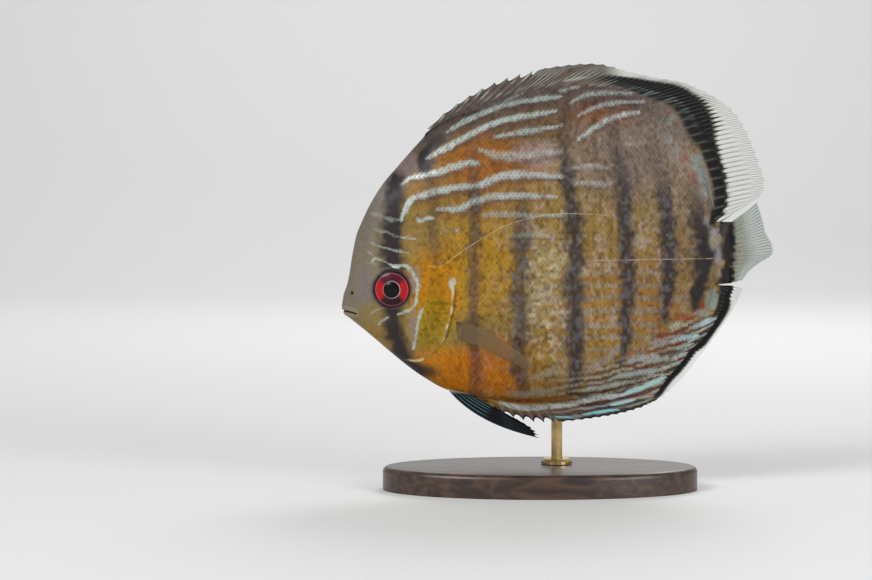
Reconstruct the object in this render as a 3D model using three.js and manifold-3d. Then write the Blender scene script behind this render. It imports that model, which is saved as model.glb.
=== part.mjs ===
// A life-size adult discus, a freshwater cichlid, swimming to the left on a display stand.
// Millimetres, +Z up. The fish's own plane has its origin at the tip of the snout, X towards the tail.
// The group is then set so that the origin is under the middle of the model, on the stand's underside.
import * as THREE from "three";
import { mergeVertices } from "three/addons/utils/BufferGeometryUtils.js";
import Module from "manifold-3d";

const wasm = await Module();
wasm.setup();

// ---- Driving sizes ----
const GAP = 0.3; // left between pieces that meet
const FRINGE = 0.03; // how far a soft ray's tip passes the membrane beside it, as a share of the ray
const FIN_GAP = 0.5; // between the body's edge, which is faceted, and the long fins
const BODY_END = 134.4; // where the tail stem meets the tail fin
const TAIL_CUT = 127.4; // where the trunk meets the tail stem
const DORSAL_START = 29; // first dorsal spine
const ANAL_START = 46; // first anal spine
const FIN_BASE_HALF = 1.1; // half the thickness of the body's edge under the long fins
const EDGE_HALF = 0.55; // and along the forehead, breast and tail stem
const MEMBRANE_HALF = 0.27; // half the thickness of a fin's membrane at its margin
const EYE = { x: 17.3, z: 4.8, radius: 6.2, depth: 2.4, proud: 1.4 };
const NOSTRIL = { x: 3.9, z: 3.6, radius: 0.6 };
const SWAY = { start: 70, length: 80, reach: 7 }; // the tail end curves away to +Y
const STAND = {
  x: 68,
  length: 108,
  width: 58,
  thick: 8,
  bevel: 1.6,
  clearance: 10, // under the pelvic fins
  rodX: 74,
  rodY: 5.6,
  rodRadius: 1.9,
};

// ---- Curves of the body: a height or size for each X ----

// A smooth curve through points, which never overshoots between them.
function curveThrough(points) {
  const slope = (i) => (points[i + 1][1] - points[i][1]) / (points[i + 1][0] - points[i][0]);
  const tangents = points.map((_, i) => {
    if (i === 0) return slope(0);
    if (i === points.length - 1) return slope(i - 1);
    const before = slope(i - 1);
    const after = slope(i);
    return before * after <= 0 ? 0 : (2 * before * after) / (before + after);
  });
  return (x) => {
    let i = points.findIndex((point) => point[0] > x) - 1;
    if (x <= points[0][0]) return points[0][1];
    if (i < 0) return points[points.length - 1][1];
    const width = points[i + 1][0] - points[i][0];
    const t = (x - points[i][0]) / width;
    const [a, b] = [points[i][1], points[i + 1][1]];
    return (
      a * (1 + 2 * t) * (1 - t) ** 2 +
      tangents[i] * width * t * (1 - t) ** 2 +
      b * t * t * (3 - 2 * t) +
      tangents[i + 1] * width * t * t * (t - 1)
    );
  };
}

const backLine = curveThrough([
  [0, -0.2], [0.5, 2.7], [1.4, 5.2], [2.2, 8.4], [3.4, 15.8], [4.8, 22.6], [6.7, 27.4], [10.3, 34.7],
  [14.2, 40.7], [18.8, 46.1], [24.7, 52.8], [29.5, 57.7], [35, 61.4], [42, 64.4], [57.5, 68.7], [74.6, 71.1],
  [91.7, 70.4], [107, 65.3], [118.3, 55.2], [124.5, 42.4], [126.9, 31.5], [128.2, 27.4], [BODY_END, 27.4],
]);
const bellyLine = curveThrough([
  [0, -2.4], [0.8, -3.8], [3.3, -6], [8, -9.8], [11.3, -12.6], [19.8, -19.8], [26.7, -25], [35.9, -30.1],
  [45.1, -32.4], [54, -33.7], [67.7, -34.5], [83.1, -32.8], [98.5, -27.7], [112.2, -19.8], [121.4, -9.6],
  [125.9, -0.3], [127.6, 5.6], [BODY_END, 6.2],
]);
const halfWidth = curveThrough([
  [0, 1.5], [1.5, 2.9], [4, 4.4], [10, 6.8], [17, 8.8], [25, 10.8], [35, 12.5], [48, 13], [65, 12.3],
  [85, 9.6], [105, 6.3], [120, 4], [128, 3.2], [BODY_END, 2.3],
]);
const roundness = curveThrough([[0, 0.5], [30, 0.52], [50, 0.6], [100, 0.66], [120, 0.7], [130, 0.5]]);

const clamp = (value) => Math.min(1, Math.max(0, value));
const smooth = (low, high, value) => {
  const t = clamp((value - low) / (high - low));
  return t * t * (3 - 2 * t);
};
const mix = (a, b, t) => a + (b - a) * t;

// How far the middle plane has swung to +Y at X.
const sway = (x) => (x > SWAY.start ? SWAY.reach * ((x - SWAY.start) / SWAY.length) ** 2 : 0);

// Half the thickness of the body's edge: thicker where a long fin grows from it.
function edgeHalf(x, up) {
  const start = up ? DORSAL_START : ANAL_START;
  const finBase = smooth(start - 4, start + 2, x) * (1 - smooth(126, 129, x));
  return mix(EDGE_HALF, FIN_BASE_HALF, finBase);
}

// Half the body's thickness at X, at a share of the way from the middle height to the edge.
function bodyHalf(x, share) {
  const edge = edgeHalf(x, share > 0);
  const round = Math.max(0, 1 - Math.abs(share) ** 2.2) ** roundness(x);
  return edge + (halfWidth(x) - edge) * round;
}

// Half the body's thickness at a point of the side view.
function halfAt(x, z) {
  const [top, bottom] = [backLine(x), bellyLine(x)];
  const share = (z - (top + bottom) / 2) / ((top - bottom) / 2);
  return bodyHalf(x, Math.max(-1, Math.min(1, share)));
}

// ---- Making closed meshes ----

function meshOf(points, triangles) {
  const geometry = new THREE.BufferGeometry();
  geometry.setAttribute("position", new THREE.Float32BufferAttribute(points.flat(), 3));
  geometry.setIndex(triangles.flat());
  return geometry;
}

function solidOf(geometry) {
  const bare = geometry.clone();
  bare.deleteAttribute("normal");
  bare.deleteAttribute("uv");
  const merged = mergeVertices(bare, 1e-4);
  return new wasm.Manifold(
    new wasm.Mesh({
      numProp: 3,
      vertProperties: merged.attributes.position.array,
      triVerts: new Uint32Array(merged.index.array),
    }),
  );
}

// A solid from points and triangles that all turn one way, whichever way that is.
function closedSolid(points, triangles) {
  const solid = solidOf(meshOf(points, triangles));
  if (solid.volume() > 0) return solid;
  const turned = triangles.map(([a, b, c]) => [a, c, b]);
  return solidOf(meshOf(points, turned));
}

function largestBody(solid) {
  return solid.decompose().reduce((best, body) => (body.volume() > best.volume() ? body : best));
}

// Skins rings of equal point counts into one closed body with capped ends. The rings turn the same way.
function skinRings(rings) {
  const count = rings[0].length;
  const points = rings.flat();
  const triangles = [];
  for (let ring = 0; ring < rings.length - 1; ring++)
    for (let i = 0; i < count; i++) {
      const [a, b] = [ring * count + i, ring * count + ((i + 1) % count)];
      triangles.push([a, b, a + count], [b, b + count, a + count]);
    }
  for (const [ring, flip] of [[0, true], [rings.length - 1, false]]) {
    const centre = rings[ring].reduce((sum, p) => sum.map((v, i) => v + p[i] / count), [0, 0, 0]);
    points.push(centre);
    for (let i = 0; i < count; i++) {
      const [a, b] = [ring * count + i, ring * count + ((i + 1) % count)];
      triangles.push(flip ? [b, a, points.length - 1] : [a, b, points.length - 1]);
    }
  }
  return closedSolid(points, triangles);
}

// A thin closed sheet about a grid of points, grid[column][row], with half its thickness at each point.
// Both faces are split into triangles the same way, so that they can't cross.
function thinSheet(grid, half) {
  const [columns, rows] = [grid.length, grid[0].length];
  const clamp = THREE.MathUtils.clamp;
  const at = (c, r) => new THREE.Vector3(...grid[clamp(c, 0, columns - 1)][clamp(r, 0, rows - 1)]);
  const faces = [[], []];
  for (let c = 0; c < columns; c++)
    for (let r = 0; r < rows; r++) {
      const along = at(c + 1, r).sub(at(c - 1, r));
      const out = at(c, r + 1).sub(at(c, r - 1));
      const normal = along.cross(out).normalize().multiplyScalar(half(c, r));
      faces[0].push(at(c, r).add(normal).toArray());
      faces[1].push(at(c, r).sub(normal).toArray());
    }
  const size = columns * rows;
  const index = (c, r) => c * rows + r;
  const triangles = [];
  for (let c = 0; c < columns - 1; c++)
    for (let r = 0; r < rows - 1; r++) {
      const [a, b, d, e] = [index(c, r), index(c + 1, r), index(c, r + 1), index(c + 1, r + 1)];
      triangles.push([a, b, e], [a, e, d], [a + size, e + size, b + size], [a + size, d + size, e + size]);
    }
  const wall = (a, b) => triangles.push([a, a + size, b + size], [a, b + size, b]);
  for (let c = 0; c < columns - 1; c++) {
    wall(index(c, 0), index(c + 1, 0));
    wall(index(c + 1, rows - 1), index(c, rows - 1));
  }
  for (let r = 0; r < rows - 1; r++) {
    wall(index(0, r + 1), index(0, r));
    wall(index(columns - 1, r), index(columns - 1, r + 1));
  }
  const points = [...faces[0], ...faces[1]];
  return closedSolid(points, triangles);
}

// An outline of the side view, as a prism from one Y to another.
function sidePrism(outline, from, to) {
  const shape = new THREE.Shape(outline.map(([x, z]) => new THREE.Vector2(x, z)));
  const geometry = new THREE.ExtrudeGeometry(shape, { depth: to - from, bevelEnabled: false });
  geometry.rotateX(Math.PI / 2);
  geometry.translate(0, to, 0);
  return solidOf(geometry);
}

const splinePoints = (points, count) => {
  const curve = new THREE.SplineCurve(points.map(([x, z]) => new THREE.Vector2(x, z)));
  return curve.getSpacedPoints(count).map((p) => [p.x, p.y]);
};

// ---- Body ----

// The whole body, grown by a number of millimetres that may change over the side view.
function bodySolid(stations, levels, grow = () => 0) {
  const rings = stations.map((x) => {
    const [top, bottom] = [backLine(x), bellyLine(x)];
    const [middle, reach] = [(top + bottom) / 2, (top - bottom) / 2];
    const side = Array.from({ length: levels + 1 }, (_, i) => {
      const share = Math.cos((Math.PI * i) / levels);
      const z = middle + share * reach;
      const more = grow(x, z);
      return [bodyHalf(x, share) + more, z + share * more];
    });
    const left = side.map(([half, z]) => [x, sway(x) - half, z]);
    const right = side.map(([half, z]) => [x, sway(x) + half, z]).reverse();
    return [...left, ...right];
  });
  return skinRings(rings);
}

// Stations along the body, closer at its two steep ends.
function stationsBetween(start, end, count) {
  return Array.from({ length: count + 1 }, (_, i) => {
    const t = i / count;
    return start + (end - start) * mix(t, (1 - Math.cos(Math.PI * t)) / 2, 0.72);
  });
}
const HEAD_STATIONS = stationsBetween(0, 46, 24);
const HEAD_LEVELS = 24;
const TRUNK_STATIONS = [...stationsBetween(12, 128, 34), 130.2, 132.4, BODY_END];
const TRUNK_LEVELS = 20;

// The head ends on this line, which follows the rear edge of the gill cover.
const headEdge = splinePoints(
  [
    [22.4, 64], [25.4, 52], [29.4, 36], [32.4, 20], [35.4, 11], [37, 5.5], [37, 0], [35.8, -5.2],
    [34.2, -10.4], [31.8, -14.4], [27.6, -18], [22.8, -20.6], [18.6, -28],
  ],
  30,
);
const headBlock = (edge) => sidePrism([[-8, 64], ...edge, [-8, -28]], -30, 30);
// The rear edge moved towards the tail.
const movedEdge = (edge, by) => edge.map(([x, z]) => [x + by, z - (z < -12 ? by : 0)]);

const gillOutline = (grown) =>
  splinePoints(
    [
      [29.9 - grown, 13 + grown], [33.6, 12.6 + grown], [36.6 + grown, 9.4 + grown],
      [38.3 + grown, 5], [38.4 + grown, 0], [37.2 + grown, -5.4 - grown],
      [35.6 + grown, -10.6 - grown], [33 + grown, -15 - grown], [28, -18.4 - grown],
      [24.7 - grown, -14.4 - grown], [26.1 - grown, -7.9], [27.8 - grown, -1.9],
      [28.4 - grown, 6], [29.9 - grown, 13 + grown],
    ],
    34,
  ).slice(0, -1);

// The gill cover stands proud of the trunk at its rear edge, and is flush with the cheek at its front.
const GILL_THICK = 0.85;
const gillProud = (x) => 0.75 * smooth(24.5, 37, x);
const gillStations = stationsBetween(20, 46, 18);
const grownBody = (grow) => bodySolid(gillStations, 30, grow);

function gillCover(side) {
  const [from, to] = side < 0 ? [-30, -3] : [3, 30];
  const outer = grownBody((x) => gillProud(x));
  const inner = grownBody((x) => gillProud(x) - GILL_THICK);
  return largestBody(outer.subtract(inner).intersect(sidePrism(gillOutline(0), from, to)));
}

function gillRecess(side) {
  const [from, to] = side < 0 ? [-30, -3] : [3, 30];
  const floor = grownBody((x) => gillProud(x) - GILL_THICK - 1.2 * GAP);
  return sidePrism(gillOutline(1.3 * GAP), from, to).subtract(floor);
}

// ---- Eyes, mouth and nostrils ----

function eyeball(side, grow = 0) {
  const geometry = new THREE.SphereGeometry(1, 20, 10);
  geometry.rotateX(Math.PI / 2);
  geometry.scale(EYE.radius + grow, EYE.depth + grow, EYE.radius + grow);
  geometry.translate(EYE.x, side * (halfAt(EYE.x, EYE.z) + EYE.proud - EYE.depth), EYE.z);
  return solidOf(geometry);
}

function eyeRim(side) {
  const geometry = new THREE.TorusGeometry(EYE.radius + 0.55, 0.75, 6, 22);
  geometry.rotateX(Math.PI / 2);
  geometry.rotateZ(side * 0.2);
  geometry.translate(EYE.x, side * (halfAt(EYE.x, EYE.z) - 0.15), EYE.z);
  return solidOf(geometry);
}

// A tapered roll along a path of [x, y, z, radius].
function taperedRoll(path, sides) {
  const curve = new THREE.CatmullRomCurve3(path.map(([x, y, z]) => new THREE.Vector3(x, y, z)));
  const steps = 8;
  const frames = curve.computeFrenetFrames(steps, false);
  const rings = Array.from({ length: steps + 1 }, (_, i) => {
    const t = i / steps;
    const place = curve.getPoint(t);
    const k = t * (path.length - 1);
    const low = Math.min(path.length - 2, Math.floor(k));
    const radius = mix(path[low][3], path[low + 1][3], k - low);
    return Array.from({ length: sides }, (_, j) => {
      const turn = (2 * Math.PI * j) / sides;
      return place
        .clone()
        .addScaledVector(frames.normals[i], Math.cos(turn) * radius)
        .addScaledVector(frames.binormals[i], Math.sin(turn) * radius)
        .toArray();
    });
  });
  return skinRings(rings);
}

const upperLip = taperedRoll(
  [
    [4.9, -3.7, -3.4, 0.5], [2.7, -2.8, -2, 0.95], [1.2, 0, -1.4, 1.25],
    [2.7, 2.8, -2, 0.95], [4.9, 3.7, -3.4, 0.5],
  ],
  8,
);
const lowerLip = taperedRoll(
  [
    [5, -3.5, -4.4, 0.5], [3.2, -2.5, -4.5, 0.9], [1.9, 0, -4.1, 1.1],
    [3.2, 2.5, -4.5, 0.9], [5, 3.5, -4.4, 0.5],
  ],
  8,
);

function mouthSlit() {
  const geometry = new THREE.BoxGeometry(6, 12, 0.4);
  geometry.rotateY(0.24);
  geometry.translate(1.9, 0, -3.2);
  return solidOf(geometry);
}

function nostril(side) {
  const geometry = new THREE.SphereGeometry(NOSTRIL.radius, 8, 6);
  geometry.translate(NOSTRIL.x, side * (halfAt(NOSTRIL.x, NOSTRIL.z) + 0.1), NOSTRIL.z);
  return solidOf(geometry);
}

// ---- Long fins: rays fan out from the body's edge, as ridges on a membrane ----

// A long fin from its base curve to its margin. Each ray is one ridge column with a membrane column after it.
// The rays sweep and bow back a little. The fin is parted along the membrane after each ray named in breaks.
function longFin({ base, margin, rays, spines, rows, notch, lean, sweep, rootHalf, breaks }) {
  const columns = 2 * rays - 1;
  const place = (share, t) => {
    const [foot, tip] = [base(share), margin(share + sweep * Math.sin(Math.PI * share ** 0.6))];
    const bow = lean * Math.sin(Math.PI * Math.min(1, t));
    return [mix(foot[0], tip[0], t) + bow, mix(foot[1], tip[1], t) + bow * 0.5];
  };
  const grid = Array.from({ length: columns }, (_, c) => {
    const share = c / (columns - 1);
    const cut = c % 2 === 0 ? 0 : c / 2 < spines ? notch : FRINGE;
    return Array.from({ length: rows + 1 }, (_, r) => {
      const [x, z] = place(share, (r / rows) * (1 - cut));
      return [x, sway(x), z];
    });
  });
  const half = (c, r) => {
    const out = r / rows;
    const ridge = c % 2 === 0 ? mix(0.3, 0.12, out) : 0;
    return mix(rootHalf, MEMBRANE_HALF, Math.min(1, out * 1.5) ** 0.8) + ridge * Math.min(1, out * 4);
  };
  const slot = (ray) => {
    const steps = Array.from({ length: 9 }, (_, i) => place((2 * ray - 1) / (columns - 1), -0.3 + i * 0.2));
    const [first, last] = [steps[0], steps[8]];
    const across = new THREE.Vector2(last[1] - first[1], first[0] - last[0]).setLength(GAP / 2);
    const front = steps.map(([x, z]) => [x - across.x, z - across.y]);
    const rear = steps.map(([x, z]) => [x + across.x, z + across.y]).reverse();
    return sidePrism([...front, ...rear], -20, 30);
  };
  const parted = breaks.reduce((fin, ray) => fin.subtract(slot(ray)), thinSheet(grid, half));
  const pieces = parted.decompose().sort((a, b) => b.volume() - a.volume()).slice(0, breaks.length + 1);
  return pieces.sort((a, b) => a.boundingBox().min[0] - b.boundingBox().min[0]);
}

// A point moved out from the body's edge by the gap, on the back or the belly line.
function edgePoint(line, x, up) {
  const step = 0.2;
  const slope = (line(x + step) - line(x - step)) / (2 * step);
  const normal = new THREE.Vector2(-slope, 1).normalize().multiplyScalar(up ? FIN_GAP : -FIN_GAP);
  return [x + normal.x, line(x) + normal.y];
}

// A path along the body's edge with its points evenly spaced.
function edgePath(line, start, end, up) {
  const points = Array.from({ length: 121 }, (_, i) => edgePoint(line, mix(start, end, i / 120), up));
  const distance = (p, q) => Math.hypot(p[0] - q[0], p[1] - q[1]);
  const lengths = points.map((p, i) => (i ? distance(p, points[i - 1]) : 0));
  const total = lengths.reduce((a, b) => a + b);
  return (share) => {
    let left = share * total;
    let i = 1;
    while (i < 120 && left > lengths[i]) left -= lengths[i++];
    const t = Math.min(1, left / lengths[i]);
    return [mix(points[i - 1][0], points[i][0], t), mix(points[i - 1][1], points[i][1], t)];
  };
}

const marginPath = (points) => {
  const curve = new THREE.SplineCurve(points.map(([x, z]) => new THREE.Vector2(x, z)));
  return (share) => curve.getPointAt(share).toArray();
};

const dorsalFin = longFin({
  base: edgePath(backLine, DORSAL_START, 127.3, true),
  margin: marginPath([
    [29.2, 59.2], [35.1, 64.6], [43.4, 70.4], [52.5, 75.2], [62.5, 78.3], [74, 80.6], [87.7, 81.4],
    [99.3, 78.6], [108.5, 76.6], [118.4, 74.7], [129.3, 69.4], [135.8, 63.9], [140, 56.4],
    [143.2, 48.6], [145.4, 41.4], [144.2, 36.4], [137.6, 32.2],
  ]),
  rays: 40,
  spines: 9,
  rows: 5,
  notch: 0.2,
  lean: 1.2,
  sweep: 0.07,
  rootHalf: 1.0,
  breaks: [10, 26],
});

const analFin = longFin({
  base: edgePath(bellyLine, ANAL_START, 127.1, false),
  margin: marginPath([
    [46.6, -34.2], [51.5, -36.6], [58, -39.5], [66, -41.4], [76, -41.2], [88, -39.8],
    [98.5, -37.8], [107.5, -34.4], [115.6, -28], [123, -19], [130.2, -9.6], [135.4, -1.6], [138, 4.2],
  ]),
  rays: 38,
  spines: 8,
  rows: 4,
  notch: 0.22,
  lean: 0.8,
  sweep: 0.06,
  rootHalf: 1.0,
  breaks: [9, 25],
});

// ---- Tail fin: a fan that curls away to +Y, its lower lobe more ----

const CAUDAL = { rays: 16, rows: 6, curlTop: 6.5, curlBottom: 14.5, top: 26.9, bottom: 6.7 };
const caudalTips = marginPath([
  [143.6, 34], [145.6, 28.4], [147, 23.4], [149.4, 19.6],
  [149.8, 15.8], [145.6, 12.8], [142, 10], [139.4, 6.6],
]);

function caudalFin() {
  const columns = 2 * CAUDAL.rays - 1;
  const grid = [];
  for (let c = 0; c < columns; c++) {
    const share = c / (columns - 1);
    const foot = [BODY_END - 0.6, mix(CAUDAL.top, CAUDAL.bottom, share)];
    const tip = caudalTips(share);
    const reach = c % 2 === 0 ? 1 : 0.96;
    const curl = mix(CAUDAL.curlTop, CAUDAL.curlBottom, smooth(0.1, 1, share));
    const column = [];
    for (let r = 0; r <= CAUDAL.rows; r++) {
      const t = (r / CAUDAL.rows) * reach;
      const x = mix(foot[0], tip[0], t);
      const away = sway(x) + curl * t ** 1.5;
      column.push([x, away, mix(foot[1], tip[1], t)]);
    }
    grid.push(column);
  }
  const half = (c, r) => {
    const out = r / CAUDAL.rows;
    const ridge = c % 2 === 0 ? 0.22 : 0;
    const raised = ridge * Math.min(1, out * 4) * (1 - 0.5 * out);
    return mix(1.5, MEMBRANE_HALF, Math.min(1, out * 2) ** 0.7) + raised;
  };
  const bodySide = sidePrism([[100, -60], [BODY_END + GAP, -60], [BODY_END + GAP, 90], [100, 90]], -30, 30);
  return largestBody(thinSheet(grid, half).subtract(bodySide));
}

// ---- Paired fins ----

// A paired fin as a fan of curved rays. A ray is given by its root, bend and tip, each [x, out, z].
function pairedFin({ roots, bends, tips, rays, rows, rootHalf, notch, side }) {
  const path = (points) => {
    const curve = new THREE.CatmullRomCurve3(points.map((p) => new THREE.Vector3(...p)));
    return (share) => curve.getPoint(share);
  };
  const [rootAt, bendAt, tipAt] = [roots, bends, tips].map(path);
  const columns = 2 * rays - 1;
  const grid = [];
  for (let c = 0; c < columns; c++) {
    const share = c / (columns - 1);
    const ray = new THREE.QuadraticBezierCurve3(rootAt(share), bendAt(share), tipAt(share));
    const reach = c % 2 === 0 ? 1 : 1 - notch;
    const column = Array.from({ length: rows + 1 }, (_, r) => {
      const p = ray.getPoint((r / rows) * reach);
      return [p.x, side * p.y, p.z];
    });
    grid.push(column);
  }
  const half = (c, r) => {
    const out = r / rows;
    const ridge = c % 2 === 0 ? 0.2 * (1 - 0.5 * out) : 0;
    return mix(rootHalf, MEMBRANE_HALF, Math.min(1, out * 3) ** 0.7) + ridge;
  };
  return thinSheet(grid, half);
}

const pectoralFin = (side) =>
  pairedFin({
    roots: [[40.2, 10.4, -6], [41, 10.4, -8.6], [41.4, 10.2, -11.4]],
    bends: [[52.5, 18.5, -7.6], [49.5, 17.5, -11], [45, 15, -13.6]],
    tips: [[66, 27, -20.8], [63.6, 25, -22], [57, 20.5, -18.9], [49.6, 15.8, -15.4]],
    rays: 11,
    rows: 6,
    rootHalf: 0.9,
    notch: 0.04,
    side,
  });

// The pelvic fins start just under the belly, side by side.
const pelvicFin = (side) =>
  pairedFin({
    roots: [[35.8, 1.6, -30.7], [39.2, 1.7, -31.6], [42.8, 1.8, -32.5]],
    bends: [[45, 3.6, -41.6], [48.6, 3.4, -38], [51.4, 3, -35.4]],
    tips: [[67.8, 5.2, -46.3], [65.8, 4.8, -44.2], [62.4, 4.2, -42], [57.6, 3.6, -39.6]],
    rays: 6,
    rows: 8,
    rootHalf: 0.7,
    notch: 0.03,
    side,
  });

// ---- Stand ----

const finLow = -46.4; // the lowest fin tip
const baseTop = finLow - STAND.clearance;

function standBase() {
  const outline = new THREE.Shape();
  const [a, b] = [STAND.length / 2 - STAND.bevel, STAND.width / 2 - STAND.bevel];
  outline.absellipse(0, 0, a, b, 0, 2 * Math.PI);
  const geometry = new THREE.ExtrudeGeometry(outline, {
    depth: STAND.thick - STAND.bevel,
    bevelThickness: STAND.bevel,
    bevelSize: STAND.bevel,
    bevelSegments: 3,
    curveSegments: 20,
  });
  geometry.translate(STAND.x, 0, baseTop - STAND.thick + 0.00001);
  // The bevel is kept on the upper edge alone, so that the base stands on its full outline.
  const keep = new THREE.BoxGeometry(300, 300, STAND.thick);
  keep.translate(STAND.x, 0, baseTop - STAND.thick / 2);
  return solidOf(geometry).intersect(solidOf(keep));
}

function standRod(grownTorso) {
  const length = 46;
  const geometry = new THREE.CylinderGeometry(STAND.rodRadius, STAND.rodRadius, length, 16);
  geometry.rotateX(Math.PI / 2);
  geometry.translate(STAND.rodX, STAND.rodY, baseTop + GAP + length / 2);
  return largestBody(solidOf(geometry).subtract(grownTorso));
}

function standCollar() {
  const points = [[STAND.rodRadius + GAP, 0], [5.4, 0], [5.4, 0.9], [4.6, 1.7], [STAND.rodRadius + GAP, 1.7]];
  const profile = [...points, points[0]].map(([r, z]) => new THREE.Vector2(r, z));
  const geometry = new THREE.LatheGeometry(profile, 24);
  geometry.rotateX(Math.PI / 2);
  geometry.translate(STAND.rodX, STAND.rodY, baseTop + GAP);
  return solidOf(geometry);
}

// ---- Putting the nodes together ----

const headBody = bodySolid(HEAD_STATIONS, HEAD_LEVELS);
const trunkBody = bodySolid(TRUNK_STATIONS, TRUNK_LEVELS);
const grownTrunk = bodySolid(TRUNK_STATIONS, TRUNK_LEVELS, () => GAP);
const behindTail = sidePrism([[TAIL_CUT + GAP, -30], [150, -30], [150, 60], [TAIL_CUT + GAP, 60]], -30, 30);
const aheadOfTail = sidePrism([[-10, -60], [TAIL_CUT, -60], [TAIL_CUT, 90], [-10, 90]], -30, 30);

function headSolid() {
  let head = headBody.intersect(headBlock(headEdge));
  for (const side of [-1, 1]) head = head.add(eyeRim(side));
  head = head.add(upperLip).add(lowerLip).subtract(mouthSlit());
  for (const side of [-1, 1])
    head = head.subtract(eyeball(side, GAP)).subtract(nostril(side)).subtract(gillRecess(side));
  return largestBody(head);
}

function torsoSolid() {
  let torso = trunkBody.subtract(headBlock(movedEdge(headEdge, GAP))).intersect(aheadOfTail);
  for (const side of [-1, 1]) torso = torso.subtract(gillRecess(side));
  return largestBody(torso);
}

const nodes = {
  head: [headSolid(), 0x8a7358, 0.4],
  torso: [torsoSolid(), 0xa07234, 0.4],
  tail_stem: [trunkBody.intersect(behindTail), 0x7d6a50, 0.4],
  dorsal_fin_spines: [dorsalFin[0], 0x6f665a, 0.45],
  dorsal_fin_soft: [dorsalFin[1], 0x6f665a, 0.45],
  dorsal_fin_lobe: [dorsalFin[2], 0x4a4644, 0.45],
  anal_fin_spines: [analFin[0], 0x55605f, 0.45],
  anal_fin_soft: [analFin[1], 0x55605f, 0.45],
  anal_fin_lobe: [analFin[2], 0x4a4644, 0.45],
  caudal_fin: [caudalFin(), 0x9aa79c, 0.45],
  stand_base: [standBase(), 0x2a211c, 0.5],
  stand_rod: [standRod(grownTrunk), 0xb0a080, 0.3, 1],
  stand_collar: [standCollar(), 0xb0a080, 0.3, 1],
};
for (const [name, side] of [["left", -1], ["right", 1]]) {
  nodes[`gill_cover_${name}`] = [gillCover(side), 0xa8842f, 0.4];
  nodes[`eye_${name}`] = [eyeball(side), 0x9c1f26, 0.15];
  nodes[`pectoral_fin_${name}`] = [largestBody(pectoralFin(side).subtract(grownTrunk)), 0x9a8467, 0.45];
  nodes[`pelvic_fin_${name}`] = [pelvicFin(side), 0x1e2a38, 0.45];
}

const model = new THREE.Group();
for (const [name, [solid, color, roughness, metalness = 0]] of Object.entries(nodes)) {
  const { vertProperties, triVerts } = solid.getMesh();
  const geometry = new THREE.BufferGeometry();
  geometry.setAttribute("position", new THREE.BufferAttribute(vertProperties, 3));
  geometry.setIndex(new THREE.BufferAttribute(triVerts, 1));
  geometry.computeVertexNormals();
  const mesh = new THREE.Mesh(geometry, new THREE.MeshStandardMaterial({ color, roughness, metalness }));
  mesh.name = name;
  model.add(mesh);
}

// The origin goes under the middle of the whole model.
const box = new THREE.Box3().setFromObject(model);
const middle = box.getCenter(new THREE.Vector3());
model.position.set(-middle.x, -middle.y, -box.min.z);

export default model;
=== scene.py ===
"""A life-size discus, a freshwater cichlid, swimming to the left on a display stand.

The fish's own side view is in millimetres: X runs from the tip of the snout to the tail, Z is up, and the
middle plane is at Y 0, swaying away to +Y at the tail. Pieces are worked out there and set into the frame.
"""

import math

import bmesh
import bpy
import numpy as np
from bpy.props import FloatProperty, FloatVectorProperty, PointerProperty
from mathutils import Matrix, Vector


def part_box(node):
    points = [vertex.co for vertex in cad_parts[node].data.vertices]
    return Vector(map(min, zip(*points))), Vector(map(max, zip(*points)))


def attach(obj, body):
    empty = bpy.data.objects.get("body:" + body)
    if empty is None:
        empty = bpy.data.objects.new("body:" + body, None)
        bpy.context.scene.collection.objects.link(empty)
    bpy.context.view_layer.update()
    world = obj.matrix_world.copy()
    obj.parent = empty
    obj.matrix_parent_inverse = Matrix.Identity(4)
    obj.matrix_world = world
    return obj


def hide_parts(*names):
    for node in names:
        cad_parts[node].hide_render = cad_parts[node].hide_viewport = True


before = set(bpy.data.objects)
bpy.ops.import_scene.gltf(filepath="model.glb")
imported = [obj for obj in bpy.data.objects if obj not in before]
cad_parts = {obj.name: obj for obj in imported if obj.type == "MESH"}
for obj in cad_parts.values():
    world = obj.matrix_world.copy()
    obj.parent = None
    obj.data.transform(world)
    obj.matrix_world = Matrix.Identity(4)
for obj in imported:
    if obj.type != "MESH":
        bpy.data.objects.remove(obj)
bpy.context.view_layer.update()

bl_info = {
    "name": "Discus model",
    "version": (1, 0, 0),
    "blender": (4, 5, 0),
    "location": "View3D > Sidebar > Discus",
    "description": "Builds a life-size discus on its stand, over the fixed frame of its solids",
    "category": "Add Mesh",
}

# ---- Where the fish stands in the frame ----

MM = 0.001
STAND_X = 68.0  # the stand's middle, in the fish's own side view
UNDERSIDE = -64.4  # the stand's underside there


def fish_origin():
    """The tip of the snout, where the fish's own side view starts, in the frame's metres."""
    low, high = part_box("stand_base")
    return Vector(((low.x + high.x) / 2 - STAND_X * MM, (low.y + high.y) / 2, low.z - UNDERSIDE * MM))


ORIGIN = fish_origin()

# ---- Curves of the body, in millimetres ----

BODY_END = 134.4
SKIN_END = 134.2
DORSAL_START = 29.0
ANAL_START = 46.0
FIN_BASE_HALF = 1.1
EDGE_HALF = 0.55
FIN_GAP = 0.5
EYE = {"x": 17.3, "z": 4.7, "radius": 5.85}
NOSTRIL = (3.5, 3.2)


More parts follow.
